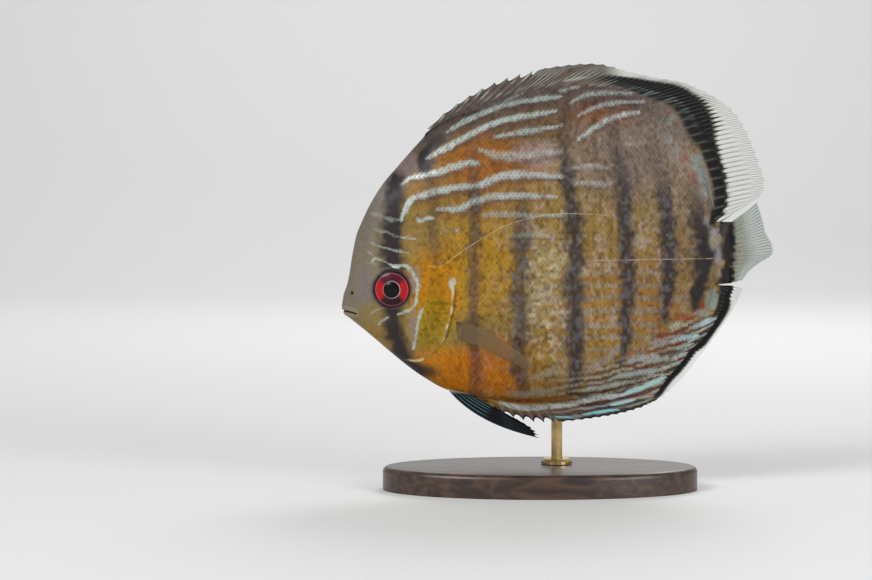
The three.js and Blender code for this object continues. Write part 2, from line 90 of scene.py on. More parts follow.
def curve_through(points):
    """A smooth curve through points, which never overshoots between them."""
    xs, ys = np.array(points, float).T
    steps = np.diff(xs)
    slopes = np.diff(ys) / steps
    product = slopes[:-1] * slopes[1:]
    total = np.where(product > 0, slopes[:-1] + slopes[1:], 1.0)
    tangents = np.empty_like(ys)
    tangents[0], tangents[-1] = slopes[0], slopes[-1]
    tangents[1:-1] = np.where(product > 0, 2 * product / total, 0.0)

    def value(x):
        x = np.clip(x, xs[0], xs[-1])
        i = np.clip(np.searchsorted(xs, x, side="right") - 1, 0, len(xs) - 2)
        t = (x - xs[i]) / steps[i]
        rise = tangents[i] * steps[i] * t * (1 - t) ** 2 + tangents[i + 1] * steps[i] * t * t * (t - 1)
        return ys[i] * (1 + 2 * t) * (1 - t) ** 2 + ys[i + 1] * t * t * (3 - 2 * t) + rise

    return value


back_line = curve_through([
    (0, -0.2), (0.5, 2.7), (1.4, 5.2), (2.2, 8.4), (3.4, 15.8), (4.8, 22.6), (6.7, 27.4), (10.3, 34.7),
    (14.2, 40.7), (18.8, 46.1), (24.7, 52.8), (29.5, 57.7), (35, 61.4), (42, 64.4), (57.5, 68.7),
    (74.6, 71.1), (91.7, 70.4), (107, 65.3), (118.3, 55.2), (124.5, 42.4), (126.9, 31.5), (128.2, 27.4),
    (BODY_END, 27.4),
])
belly_line = curve_through([
    (0, -2.4), (0.8, -3.8), (3.3, -6), (8, -9.8), (11.3, -12.6), (19.8, -19.8), (26.7, -25), (35.9, -30.1),
    (45.1, -32.4), (54, -33.7), (67.7, -34.5), (83.1, -32.8), (98.5, -27.7), (112.2, -19.8), (121.4, -9.6),
    (125.9, -0.3), (127.6, 5.6), (BODY_END, 6.2),
])
half_width = curve_through([
    (0, 1.5), (1.5, 2.9), (4, 4.4), (10, 6.8), (17, 8.8), (25, 10.8), (35, 12.5), (48, 13), (65, 12.3),
    (85, 9.6), (105, 6.3), (120, 4), (128, 3.2), (BODY_END, 2.3),
])
roundness = curve_through([(0, 0.5), (30, 0.52), (50, 0.6), (100, 0.66), (120, 0.7), (130, 0.5)])


def smooth(low, high, value):
    """A smooth step from 0 at low to 1 at high."""
    t = np.clip((value - low) / (high - low), 0, 1)
    return t * t * (3 - 2 * t)


def mix(a, b, t):
    """A value a share of the way from a to b."""
    return a + (b - a) * t


def bump(distance, width):
    """A soft bump, 1 at no distance and about 0 past twice the width."""
    return np.exp(-((distance / width) ** 2))


def sway(x):
    """How far the middle plane has swung to +Y."""
    return 7.0 * (np.maximum(x - 70, 0) / 80) ** 2


def edge_half(x, up):
    """Half the thickness of the body's edge, thicker where a long fin grows from it."""
    start = np.where(up, DORSAL_START, ANAL_START)
    fin_base = smooth(start - 4, start + 2, x) * (1 - smooth(126, 129, x))
    return mix(EDGE_HALF, FIN_BASE_HALF, fin_base)


def body_half(x, share):
    """Half the body's thickness at a share of the way from its middle height to its edge."""
    edge = edge_half(x, share > 0)
    fullness = np.maximum(0, 1 - np.abs(share) ** 2.2) ** roundness(x)
    taper = mix(1, 0.55, smooth(130.5, BODY_END, x))
    return (edge + (half_width(x) - edge) * fullness) * taper


def half_at(x, z):
    """Half the body's thickness at a point of the side view."""
    top, bottom = back_line(x), belly_line(x)
    share = (z - (top + bottom) / 2) / ((top - bottom) / 2)
    return body_half(x, np.clip(share, -1, 1))


# The margins of the long fins in the side view.
DORSAL_MARGIN = [
    (29.2, 59.2), (35.1, 64.6), (43.4, 70.4), (52.5, 75.2), (62.5, 78.3), (74, 80.6), (87.7, 81.4),
    (99.3, 78.6), (108.5, 76.6), (118.4, 74.7), (129.3, 69.4), (135.8, 63.9), (140, 56.4), (143.2, 48.6),
    (145.4, 41.4), (144.2, 36.4), (137.6, 32.2),
]
ANAL_MARGIN = [
    (46.6, -34.2), (51.5, -36.6), (58, -39.5), (66, -41.4), (76, -41.2), (88, -39.8), (98.5, -37.8),
    (107.5, -34.4), (115.6, -28), (123, -19), (130.2, -9.6), (135.4, -1.6), (138, 4.2),
]


def fin_reach(x, up):
    """How far a long fin stands out over the body's edge there, in millimetres."""
    margin_x, margin_z = zip(*(DORSAL_MARGIN[:11] if up else ANAL_MARGIN[:11]))
    margin = np.interp(x, margin_x, margin_z)
    start, edge = (DORSAL_START, back_line(x)) if up else (ANAL_START, belly_line(x))
    return np.abs(margin - edge) * smooth(start + 1, start + 4, x)


def over_edge(x, z):
    """How far points lie over the body's edge, negative within it, and if it's the upper edge."""
    over, under = z - back_line(x), belly_line(x) - z
    return np.maximum(over, under), over > under


def sheath_height(x, up):
    """How far up a long fin the scales reach, in millimetres."""
    start = DORSAL_START if up else ANAL_START
    return np.minimum(0.3 * fin_reach(x, up), 4.5) * smooth(start + 3, start + 16, x) * smooth(127, 119, x)


def coat_half(x, z):
    """Half the thickness at a point of the side view, of the body and the scaled bases of its long fins."""
    over, upper = over_edge(x, z)
    reach = np.where(upper, fin_reach(x, True), fin_reach(x, False))
    inner = np.clip(z, belly_line(x), back_line(x))
    body = half_at(x, inner) * smooth(2.5, 0, over)
    grown = np.clip(over / np.maximum(reach, 1), 0, 1)
    fin = (mix(1.0, 0.16, np.minimum(1, grown * 1.6) ** 0.75) + 0.32) * smooth(1, 3, reach)
    return mix(body, (body**4 + fin**4) ** 0.25, smooth(-4, -0.5, over))


def spline(points, even=True):
    """A curve through points, read at shares of its length, or of its count of points where even is False."""
    p = np.array(points, float)
    padded = np.vstack([2 * p[0] - p[1], p, 2 * p[-1] - p[-2]])
    t = np.linspace(0, len(p) - 1, 24 * (len(p) - 1) + 1)
    i = np.minimum(t.astype(int), len(p) - 2)
    f = (t - i)[:, None]
    a, b, c, d = (padded[i + k] for k in range(4))
    table = 0.5 * (2 * b + (c - a) * f + (2 * a - 5 * b + 4 * c - d) * f**2 + (3 * b - a - 3 * c + d) * f**3)
    key = t / t[-1]
    if even:
        lengths = np.linalg.norm(np.diff(table, axis=0), axis=1)
        key = np.concatenate([[0], np.cumsum(lengths)]) / lengths.sum()
    return lambda share: np.stack([np.interp(share, key, column) for column in table.T], -1)


# ---- Lines and fields over the side view ----


def beside(line, x, z, reach=4.0):
    """How far points lie from a line of (x, z, half width), in half widths, and on which side of it.

    The side is +1 to the left of the line's run, as seen with Z up and X to the right. Points much further
    off than the reach, in half widths, only get a large number.
    """
    fine = spline(line, even=False)(np.linspace(0, 1, 3 * (len(line) - 1) + 1))
    margin = reach * fine[:, 2].max()
    low, high = fine[:, :2].min(0) - margin, fine[:, :2].max(0) + margin
    close = (x > low[0]) & (x < high[0]) & (z > low[1]) & (z < high[1])
    px, pz = x[close], z[close]
    nearest, side = np.full(px.shape, 1e3), np.ones(px.shape)
    for (xa, za, wa), (xb, zb, wb) in zip(fine[:-1], fine[1:]):
        run, rise = xb - xa, zb - za
        t = np.clip(((px - xa) * run + (pz - za) * rise) / (run * run + rise * rise), 0, 1)
        far = np.hypot(px - xa - t * run, pz - za - t * rise) / mix(wa, wb, t)
        closer = far < nearest
        nearest = np.where(closer, far, nearest)
        side = np.where(closer, np.sign(run * (pz - za) - rise * (px - xa) + 1e-9), side)
    all_nearest, all_side = np.full(x.shape, 1e3), np.ones(x.shape)
    all_nearest[close], all_side[close] = nearest, side
    return all_nearest, all_side


def evenly(width, points, ends=0.45):
    """A line of one half width, narrower at its two ends."""
    last = len(points) - 1
    return [(x, z, width * (ends if i in (0, last) else 1)) for i, (x, z) in enumerate(points)]


STEP = 0.3425  # millimetres in one step of a reading
ORIGIN_READING = (342, 302)  # the tip of the snout, in steps to the right and down


def reading(right, down):
    """A place read in steps over the side view, as x and z in the fish's own millimetres."""
    return round((right - ORIGIN_READING[0]) * STEP, 1), round((ORIGIN_READING[1] - down) * STEP, 1)


def read_reach(along, up):
    """A patch's reach along and up, read in steps, in millimetres."""
    return round(along * STEP, 1), round(up * STEP, 1)


def read_line(half, readings):
    """A line of one half width, narrower at its two ends, from readings."""
    return evenly(round(half * STEP, 2), [reading(right, down) for right, down in readings])


def read_bar(readings):
    """A line of (x, z, half width) from readings with a half width each."""
    return [(*reading(right, down), round(half * STEP, 2)) for right, down, half in readings]


def inside(outline, x, z):
    """The distance to an outline in millimetres, positive inside it."""
    crossings, nearest = np.zeros(np.shape(x), bool), np.full(np.shape(x), 1e9)
    for (xa, za), (xb, zb) in zip(outline, np.roll(outline, -1, axis=0)):
        run, rise = xb - xa, zb - za
        if rise:
            crossings ^= ((za > z) != (zb > z)) & (x < xa + (z - za) / rise * run)
        t = np.clip(((x - xa) * run + (z - za) * rise) / (run * run + rise * rise + 1e-12), 0, 1)
        nearest = np.minimum(nearest, np.hypot(x - xa - t * run, z - za - t * rise))
    return np.where(crossings, nearest, -nearest)


def noise(x, z, size, seed=0):
    """Smooth noise from 0 to 1, with bumps of about a size in millimetres."""
    u, v = x / size, z / size
    i, j = np.floor(u).astype(np.int64), np.floor(v).astype(np.int64)
    fu, fv = smooth(0, 1, u - i), smooth(0, 1, v - j)

    def corner(a, b):
        mixed = (a * 374761393 + b * 668265263 + seed * 974711) & 0xFFFFFFFF
        mixed = ((mixed ^ (mixed >> 13)) * 1274126177) & 0xFFFFFFFF
        return ((mixed ^ (mixed >> 16)) & 0xFFFF) / 65535

    low = mix(corner(i, j), corner(i + 1, j), fu)
    high = mix(corner(i, j + 1), corner(i + 1, j + 1), fu)
    return mix(low, high, fv)


# The pale stripes: strength and line.
STRIPES = [
    (0.8, evenly(1.25, [(36, 58.1), (41.4, 61.3), (46.9, 64), (56.5, 67.5), (68.5, 69.5), (75, 70.2)])),
    (0.95, evenly(1.45, [(28.8, 49), (35.3, 52.7), (40.4, 55.3), (51, 60.8), (62, 63.5), (73, 65.1)])),
    (0.95, [(20.6, 40.2, 0.5), (23.6, 42.5, 0.9), (31.9, 44.2, 1.5), (42.5, 47.6, 1.5), (46.9, 47.3, 0.8)]),
    (0.5, evenly(2.1, [(46.9, 52.1), (53.4, 50), (62, 50.3), (75, 51.4)])),
    (0.75, evenly(1.2, [(52.2, 56.5), (62, 58.1), (75, 60.3)])),
    (1, [
        (20.2, 28.4, 0.5), (21.4, 31.5, 0.45), (22.4, 33.7, 0.8), (25.3, 36, 1.4), (35.3, 38.7, 1.6),
        (40.4, 39.6, 1.5), (46.9, 40.1, 1.5), (53.4, 42.8, 1.7), (62, 43.8, 1.6), (75, 42.8, 0.8),
    ]),
    (0.85, evenly(1.5, [(32.9, 31.9), (40.4, 32.2), (46.9, 35.3), (55.5, 36.6), (73, 36.3)])),
    (0.8, evenly(1.1, [(26, 28.1), (31.5, 29.1)])),
    (0.45, evenly(1.3, [(48, 30.1), (54.1, 30.5), (59.9, 30.1), (76.4, 29.8)])),
    (0.75, [(80.2, 55.2, 0.5), (85.7, 59.3, 1.1), (92.7, 63.1, 1.2), (101.5, 64.8, 0.8)]),
    (0.6, evenly(1, [(80.5, 63.5), (89.4, 67.5), (103.4, 68.5)])),
    (0.6, evenly(1, [(77.8, 67.9), (83.1, 70.6), (90.1, 71.4), (98.9, 71.4)])),
    (0.5, evenly(0.7, [(74.3, 71.9), (78, 73), (81.3, 73.6)])),
    (0.4, evenly(0.7, [(76, 75.4), (80.4, 76.3), (84.8, 76.9)])),
    (0.5, evenly(0.6, [(53, 65.9), (57, 69), (62, 71.5)])),
    (0.45, evenly(1.4, [(78.4, 45.9), (84.9, 46.6), (90.4, 45.9)])),
    (0.4, evenly(1.4, [(78.4, 40.4), (84.9, 40.8), (91.1, 40.1)])),
    (0.4, evenly(1, [(35.3, 24.3), (40.4, 25)])),
    (0.3, evenly(1.2, [(55.8, 22.6), (64.4, 23.6), (72.3, 22.3)])),
]
# The fine pale lines of the face.
FACE_LINES = [
    (0.8, read_line(1.2, [(371, 262), (374, 258.5), (378, 257.5), (384, 260), (391, 263.5)])),
    (0.95, read_line(1.7, [
        (388, 262.5), (397, 265), (403, 264), (408, 265.5), (412, 270), (415, 275), (417.5, 281),
        (417.5, 290), (416.8, 297), (415.5, 303), (411, 307.5), (404, 311), (398, 313.5),
    ])),
    (0.9, read_line(1.2, [(417, 281), (421, 285)])),
    (0.7, read_line(1.5, [(389, 316), (384, 319), (379, 323.5)])),
    (0.9, read_line(1.5, [
        (424, 306), (421, 311), (419, 318), (417.5, 326), (416.5, 334), (415, 342), (413.5, 348),
    ])),
    (0.4, read_line(0.9, [(362, 260), (368, 262), (373, 262), (379, 265)])),
    (0.5, read_line(0.9, [(370, 314), (376, 309.5), (384, 306.5)])),
    (0.4, read_line(1, [(360, 246), (368, 250), (373, 254), (376, 258)])),
    (0.5, read_line(1.1, [
        (367, 240.5), (373, 243), (378, 245), (386, 247), (394, 249.5), (402, 250.5), (409, 251.5),
    ])),
    (0.95, read_line(1.5, [(400, 250.5), (409, 251.8)])),
    (0.35, read_line(1.5, [(374, 229), (380, 230.5), (387, 231), (396, 235), (403, 236)])),
    (0.8, read_line(2.2, [(402, 236.5), (410, 236.5), (416, 238)])),
    (0.25, read_line(2.6, [(370, 213), (376, 214), (383, 216)])),
    (0.35, read_line(2, [(383, 216), (392, 219), (400, 219)])),
    (1, read_line(2.4, [(402, 221), (403, 215), (405, 211), (409, 205), (413, 201)])),
    (0.7, read_line(2, [(417, 215.5), (421, 220.5), (426, 218), (434, 217)])),
    (0.55, read_line(1.5, [(443, 225), (448, 231)])),
]
GILL_EDGE = evenly(0.42, [
    (36.6, 7.9), (38, 5.1), (38, 2.4), (37.7, -1), (37.2, -4.5), (36.1, -7.5), (35.3, -11.3), (33.9, -14.4),
    (31.9, -16.4), (28.4, -19), (25.3, -19.9), (20.9, -19.5),
])
# The wavy lines low on the flank and on the anal fin: colour, strength and line, dark ones first.
LOW_DARK = [
    ("82421c", 0.7, read_line(2.6, [
        (500, 397), (512, 400), (522, 401), (535, 400.5), (548, 398.5), (562, 398.5), (575, 399),
    ])),
    ("6a3a2a", 0.75, read_line(1.3, [
        (517, 412.5), (530, 414), (540, 412.5), (552, 410.5), (565, 410), (580, 408),
    ])),
    ("8a5a1c", 0.5, read_line(3, [(528, 383), (545, 383.5), (562, 381)])),
    ("43221e", 0.9, read_line(1.4, [
        (565, 392), (577, 394), (585, 395.5), (593, 392.5), (605, 391.5), (620, 388.5), (630, 386),
        (640, 382.8), (650, 380), (660, 377),
    ])),
    ("431f22", 0.85, read_line(1.5, [
        (575, 406), (590, 404.5), (600, 402), (610, 401), (620, 400), (630, 397.5), (642, 395.5),
        (652, 392.5),
    ])),
    ("20242c", 0.9, read_line(1.7, [(560, 421.5), (580, 421), (592, 417.5), (600, 408.5)])),
    ("20242c", 0.9, read_line(1.7, [(596, 408.5), (612, 408), (622, 406.5), (632, 404), (645, 401)])),
    ("3c2c2a", 0.8, read_line(0.9, [
        (605, 382), (618, 380.5), (628, 379.5), (640, 379), (650, 375), (660, 373), (670, 369.5),
        (680, 366),
    ])),
    ("5a2a20", 0.9, read_line(1.6, [
        (622, 366.5), (630, 366.5), (640, 367.5), (650, 367), (658, 365), (668, 363.5), (678, 361.5),
        (687, 357.5),
    ])),
    ("4a2c28", 0.85, read_line(1.4, [(662, 357), (671, 354), (679, 353), (685, 350)])),
    ("7a4222", 0.7, read_line(2.2, [(625, 353), (635, 352), (650, 351), (660, 350.5), (668, 349)])),
    ("5e1f1c", 0.9, read_line(2, [(671, 345.5), (679, 344), (688, 342.5)])),
    ("6e2a1c", 0.85, read_line(2.3, [
        (655, 336), (662, 335), (671, 334.5), (679, 333), (685, 330.5), (689, 329.5),
    ])),
    ("3a3436", 0.8, read_line(2, [
        (515, 418), (530, 421), (550, 423), (575, 423), (600, 421), (622, 418), (640, 411),
    ])),
]
LOW_PALE = [
    ("a9b3ae", 0.9, read_line(3, [
        (500, 403), (515, 407), (530, 408.5), (545, 407), (560, 406), (575, 404), (585, 400.5),
        (600, 397.5), (613, 397), (622, 395),
    ])),
    ("9fc4c4", 0.95, read_line(2.6, [
        (622, 396), (632, 391.5), (643, 388), (651, 384), (660, 381), (666, 378),
    ])),
    ("8fc6cc", 0.9, read_line(1.3, [(553, 417.3), (565, 417.5), (574, 418.5), (582, 420)])),
    ("8fcfd0", 0.95, read_line(1.5, [(583, 415), (597, 413), (612, 411), (620, 410.5)])),
    ("b5d8d6", 0.9, read_line(2, [(612, 405.5), (620, 403.5), (628, 402), (636, 400)])),
    ("b0aaa8", 0.8, read_line(1.2, [(640, 399.5), (648, 397.5), (655, 396)])),
    ("aab3a8", 0.9, read_line(2.6, [
        (583, 390), (592, 388.5), (600, 387.5), (608, 386), (616, 384.5), (626, 383),
    ])),
    ("a9aca0", 0.8, read_line(1.2, [(626, 384), (636, 381.5), (645, 379), (655, 376.5), (664, 374)])),
    ("9dabaa", 0.9, read_line(3.2, [
        (613, 378), (622, 375), (633, 373.5), (643, 373), (652, 371.5), (660, 369.5),
    ])),
    ("a2ada6", 0.8, read_line(1.6, [(658, 370), (668, 367), (677, 364), (685, 360)])),
    ("9a9fa0", 0.85, read_line(4, [(628, 361), (638, 357.5), (648, 358.5), (658, 359), (668, 358.5)])),
    ("a2ada6", 0.8, read_line(1.7, [(666, 359), (675, 357.5), (683, 355), (688, 353)])),
    ("968f95", 0.7, read_line(4, [(650, 343), (657, 343), (664, 342.5), (671, 341.5)])),
    ("9dbcc4", 0.9, read_line(3, [(672, 341), (680, 338.5), (690, 337.5), (699, 336)])),
    ("9aaea0", 0.85, read_line(1.8, [(671, 350), (680, 347.8), (688, 346), (694, 344)])),
    ("a9ad98", 0.8, read_line(3.5, [(670, 327), (678, 325.5), (687, 325)])),
    ("a5b2bb", 0.85, read_line(2.6, [(691, 328), (698, 326), (704, 324), (711, 321), (718, 319)])),
    ("a39a9c", 0.6, read_line(3, [(694, 314), (701, 312.5), (706, 312.5)])),
    ("908f8a", 0.6, read_line(3.5, [(508, 392), (520, 393.5), (532, 392.5), (545, 390.5), (556, 389)])),
    ("98968a", 0.5, read_line(3.5, [(530, 377), (540, 374), (550, 371), (562, 370)])),
    ("958d88", 0.5, read_line(4, [(585, 372), (600, 362), (612, 352), (618, 345)])),
]
# The dark bars from head to tail: strength, the heights over which it comes in from the top, and line.
BARS = [
    (1, (60, 52), [
        (33, 55.5, 1.8), (31.2, 53.4, 2.2), (28.8, 51.2, 2.1), (28.2, 49, 2.1), (28.9, 47, 2.5),
        (28.8, 45.4, 1.8),
    ]),
    (1, (47, 43), [
        (18.4, 42, 3.1), (18.2, 38, 3.3), (18, 32, 3.5), (17.6, 26.4, 3.7), (17.4, 17.8, 4),
        (17.4, 9.6, 3.7),
    ]),
    (1, (4, 0), [
        (17.5, -0.3, 3.1), (17.8, -6.2, 3.5), (18.6, -11.3, 3.5), (20.4, -16.4, 3.2), (22.6, -21.2, 2.9),
        (25.4, -24.3, 2.4),
    ]),
    (0.4, (60, 50), read_bar([(430, 170, 4.5), (433, 205, 5), (434, 235, 5), (437, 262, 4)])),
    (0.65, (56, 30), read_bar([
        (472, 150, 5), (475, 215, 5), (474, 250, 6), (474, 290, 6), (472, 330, 5), (476, 370, 6),
        (476, 392, 6),
    ])),
    (0.75, (46, 20), read_bar([
        (520, 170, 6), (520, 240, 8), (519, 300, 8), (518, 345, 7.5), (521, 372, 8), (521, 390, 6),
    ])),
    (0.9, (66, 40), read_bar([
        (566, 108, 7), (562, 140, 7), (566, 180, 8), (571, 210, 8.5), (573, 250, 9), (573, 290, 9),
        (574, 330, 8.5), (575, 370, 7.5), (574, 387, 6),
    ])),
    (0.9, (62, 34), read_bar([
        (610, 112, 6), (618, 160, 7), (622, 190, 7.5), (625, 230, 8.5), (626, 280, 8.5), (625, 330, 7),
        (622, 362, 5),
    ])),
    (0.95, (50, 30), read_bar([
        (650, 140, 5), (658, 165, 6), (663, 190, 7), (666, 215, 7.5), (668, 250, 7.5), (667, 290, 7),
        (664, 318, 5),
    ])),
    (1, (44, 22), [
        (120.9, 38.4, 2.3), (121.9, 29.8, 3), (123.6, 22.9, 3.6), (124.4, 17.8, 4.1), (124.8, 14.4, 4.2),
        (123.5, 9, 3.5), (121.9, 3, 2.7), (121.3, -2.4, 1.6),
    ]),
]
TAIL_BAR = [(131.8, 28.2, 2.5), (132.1, 22.5, 2.3), (133, 16.1, 2), (132.6, 11.6, 2.2), (131.8, 4.6, 2.7)]
# The lateral line, which steps down towards the tail.
UPPER_LATERAL = [
    (28, 8.6), (32, 11.6), (35.3, 13.6), (41.1, 17.8), (46.9, 21.6), (55.5, 26.4), (64.4, 29.1), (70, 30.1),
    (77.4, 30.5), (92.5, 29.8),
]
LOWER_LATERAL = [(83.9, 14.6), (102.1, 14.7), (128.4, 14.9)]
# The black bands of the long fins.
DORSAL_BAND = [
    (84, 77, 0.6), (92, 75.8, 1.2), (99, 74.2, 1.9), (107.6, 71.9, 2.7), (114.4, 69.8, 3.4),
    (119.9, 64.7, 4.4), (122.3, 59.6, 4.4), (124.7, 54.5, 2.9), (127.1, 47.6, 2.4), (129.1, 40.1, 2.2),
    (129.3, 32.9, 1.9), (126.7, 27.1, 1),
]
ANAL_BAND = [
    (132.9, 4.5, 1.2), (131.2, 1.7, 1.7), (130.8, -1.7, 1.9), (128.8, -5.8, 1.7), (126.4, -9.6, 1.5),
    (123.3, -13.4, 1.7), (120.2, -16.1, 1.5), (117.8, -19.2, 1.5), (115.1, -22.6, 1.5), (111.7, -26.4, 1.4),
    (108.6, -30.5, 1.4), (106.2, -33.6, 1),
]
GILL_OUTLINE = spline([
    (29.9, 13), (33.6, 12.6), (36.6, 9.4), (38.3, 5), (38.4, 0), (37.2, -5.4), (35.6, -10.6), (33, -15),
    (28, -18.4), (24.7, -14.4), (26.1, -7.9), (27.8, -1.9), (28.4, 6), (29.9, 13),
])(np.linspace(0, 1, 49)[:-1])
PREOPERCLE = evenly(1, [(27.9, 0), (27, -4), (26, -9), (24.4, -14.4), (20.6, -17.2), (15.5, -14)], 1)
MOUTH = evenly(1, [(-0.6, -2.9), (0.4, -3.05), (1.4, -3.15), (2.8, -3.4), (4.9, -3.9)], 1)
UPPER_LIP = evenly(1, [(-0.4, -1.7), (0.8, -1.8), (2.6, -2.3), (5.1, -3.3)], 1)
LOWER_LIP = evenly(1, [(0.4, -3.9), (1.4, -4.3), (3.2, -4.7), (5.2, -4.6)], 1)


def tone(code):
    """A colour such as 'a07514' as red, green and blue from 0 to 1."""
    return tuple(int(code[i:i + 2], 16) / 255 for i in (0, 2, 4))


def linear(colour):
    """A colour from 0 to 1 as an array in linear light."""
    colour = np.array(colour[:3], float)
    return np.where(colour <= 0.04045, colour / 12.92, ((colour + 0.055) / 1.055) ** 2.4)


def paint(ground, colour, mask):
    """Lays a colour over a ground by a mask."""
    return ground + (linear(colour) - ground) * np.clip(mask, 0, 1)[..., None]


# Soft fields of the ground: colour, centre x and z, reach along and up, strength.
GROUND_FIELDS = [
    ("756459", 99, 56, 27, 26, 0.95),  # taupe back
    ("74614f", 124, 34, 13, 26, 0.8),  # tail end of the back
    ("5f4939", 58, 64, 30, 13, 0.9),  # brown back
    ("955a1c", 50, 48, 20, 9, 0.75),  # rust between the stripes
    ("8f7f7b", 66, 50.5, 10, 5, 0.75),  # lilac under the upper stripes
    ("8d7c76", 69, 43.5, 8, 3, 0.5),
    ("7a4822", 90, 66, 13, 6, 0.75),  # rust under the dorsal fin
    ("8b6e36", 92, 14, 16, 22, 0.6),  # flank behind the middle
    ("795c34", 112, 4, 14, 22, 0.65),  # lower flank near the tail
    ("a87c1c", 47, 12, 18, 20, 0.85),  # front of the flank
    ("ad7306", 32, 5, 10, 15, 0.95),  # cheek
    ("967a0e", 31.5, -8, 7.5, 12, 0.7),  # gill cover
    ("bd7410", 36, -24, 16, 10, 0.95),  # breast
    ("bb6806", 53, -23, 17, 12, 0.8),  # belly
    ("90702c", 71, -22, 14, 14, 0.6),  # belly behind the middle
    ("a59a70", 70, 6, 12, 15, 0.6),  # pale middle
]
HEAD_FIELDS = [
    ("6e6459", 5, 32, 12, 26, 1),  # forehead
    ("726859", 5, 6, 9, 15, 1),  # snout
    ("7d6e40", 9, -4, 5, 5, 0.8),  # under the eye
    ("82683a", 12, -11, 5, 3, 0.7),
    ("75696a", 8.5, 6, 4.5, 7, 0.6),  # before the eye
    ("766e66", 14, 42, 8, 12, 0.9),  # brow
    ("786e57", 12.8, 17, 3.6, 14, 0.9),  # over the eye
    ("7a6a68", 22.5, 47.2, 4.6, 5.4, 0.9),  # between the brow and the nape
    ("534b47", 30, 58, 10, 6, 0.85),  # nape
    ("322a22", 24, -23.6, 10, 3.6, 0.95),  # throat
    ("7f7478", 25.2, 8, 2.2, 5, 0.6),  # behind the eye
    ("7d7371", 24.3, -9, 1.5, 8, 0.6),
]
# Fields over the markings: patches near the tail and rusty spots.
TAIL_FIELDS = [
    ("8a4526", *reading(596, 380), *read_reach(9, 4.5), 0.75),
    ("7d4a35", *reading(605, 367), *read_reach(5, 4), 0.5),
    ("7c4a28", *reading(660, 325), *read_reach(6, 5), 0.6),
    ("96401a", *reading(686, 318), 3.8, 1.3, 0.8),
    ("9b5a1e", *reading(673, 309), *read_reach(7, 4.5), 0.6),
    ("748f92", *reading(713, 300), 2.6, 4.2, 0.65),
    ("84301a", *reading(703, 305), 1.6, 1.4, 0.8),
    ("7c3a2a", *reading(683, 158), *read_reach(7, 6), 0.5),
    ("7c3a2a", *reading(695, 177), *read_reach(8, 8), 0.55),
    ("928a72", 127.6, 20.9, 2.2, 3.4, 0.85),
    ("8d8893", 127.9, 24, 2.4, 1.6, 0.6),
    ("8e8992", 129.3, 15.8, 1.9, 3.8, 0.7),
    ("7d7040", *reading(714, 273), *read_reach(4, 9), 0.6),
    ("8d8893", *reading(720, 277), *read_reach(2.5, 10), 0.5),
]


def soft_field(x, z, centre_x, centre_z, along, up):
    """1 within an ellipse and fading out past it."""
    return 1 - smooth(0.45, 1.25, np.hypot((x - centre_x) / along, (z - centre_z) / up))


def ground_colours(x, z, colours):
    """The colour under the markings, in linear light."""
    ground = np.broadcast_to(linear(colours.flank), np.shape(x) + (3,)).copy()
    blotch = noise(x, z, 6, 1) - 0.5
    for code, centre_x, centre_z, along, up, strength in GROUND_FIELDS:
        field = soft_field(x + 3 * blotch, z + 3 * blotch, centre_x, centre_z, along, up)
        ground = paint(ground, tone(code), strength * field)
    # dashes of ochre and lavender one under another between the rear bars
    dash = np.cos(2 * math.pi * (z + 1.2 * noise(x, z, 7, 2)) / 4.4)
    region = soft_field(x, z, 92, 0, 26, 24) * smooth(26, 6, z)
    ground = paint(ground, tone("aa681a"), 0.46 * smooth(0.1, 0.9, dash) * region)
    ground = paint(ground, tone("94867f"), 0.4 * smooth(0.1, 0.9, -dash) * region)
    # straw and ochre mottles, longer than high, over the middle of the flank
    mottle = 0.65 * noise(0.7 * x, 1.1 * z, 1.0, 61) + 0.35 * noise(0.6 * x, z, 2.4, 62)
    region = (0.15 + 0.85 * soft_field(x, z, 68, 2, 15, 25)) * smooth(38, 50, x)
    region = region * smooth(92, 80, x) * smooth(34, 22, z)
    ground = paint(ground, tone("cfc4a6"), 0.46 * smooth(0.52, 0.76, mottle) * region)
    ground = paint(ground, tone("8a5c12"), 0.5 * smooth(0.5, 0.3, mottle) * region)
    # the back darkens to brown towards the dorsal fin
    above = smooth(-9, 1.5, z - back_line(x)) * smooth(124, 98, x)
    ground = paint(ground, tone("4c4243"), 0.85 * above)
    below = smooth(0.5, 4, belly_line(x) - z) * smooth(112, 92, x)
    ground = paint(ground, tone("3b3133"), 0.85 * below)
    # lavender clouds over the middle and the back, and dark flecks all over
    cloud = 0.55 * noise(x, z, 1.2, 11) + 0.45 * noise(x, z, 4.2, 12)
    region = 0.18 + 0.82 * soft_field(x, z, 88, 18, 36, 44)
    ground = paint(ground, tone("a99a8f"), 0.52 * smooth(0.48, 0.76, cloud) * region * smooth(38, 50, x))
    fleck = 0.75 * noise(x, z, 0.8, 13) + 0.25 * noise(x, z, 2.6, 14)
    flecked = mix(0.35, 1, smooth(16, 30, x)) * (1 - 0.5 * soft_field(x, z, 42, -24, 22, 14))
    return paint(ground, tone("33270f"), 0.55 * smooth(0.5, 0.85, fleck) * flecked)


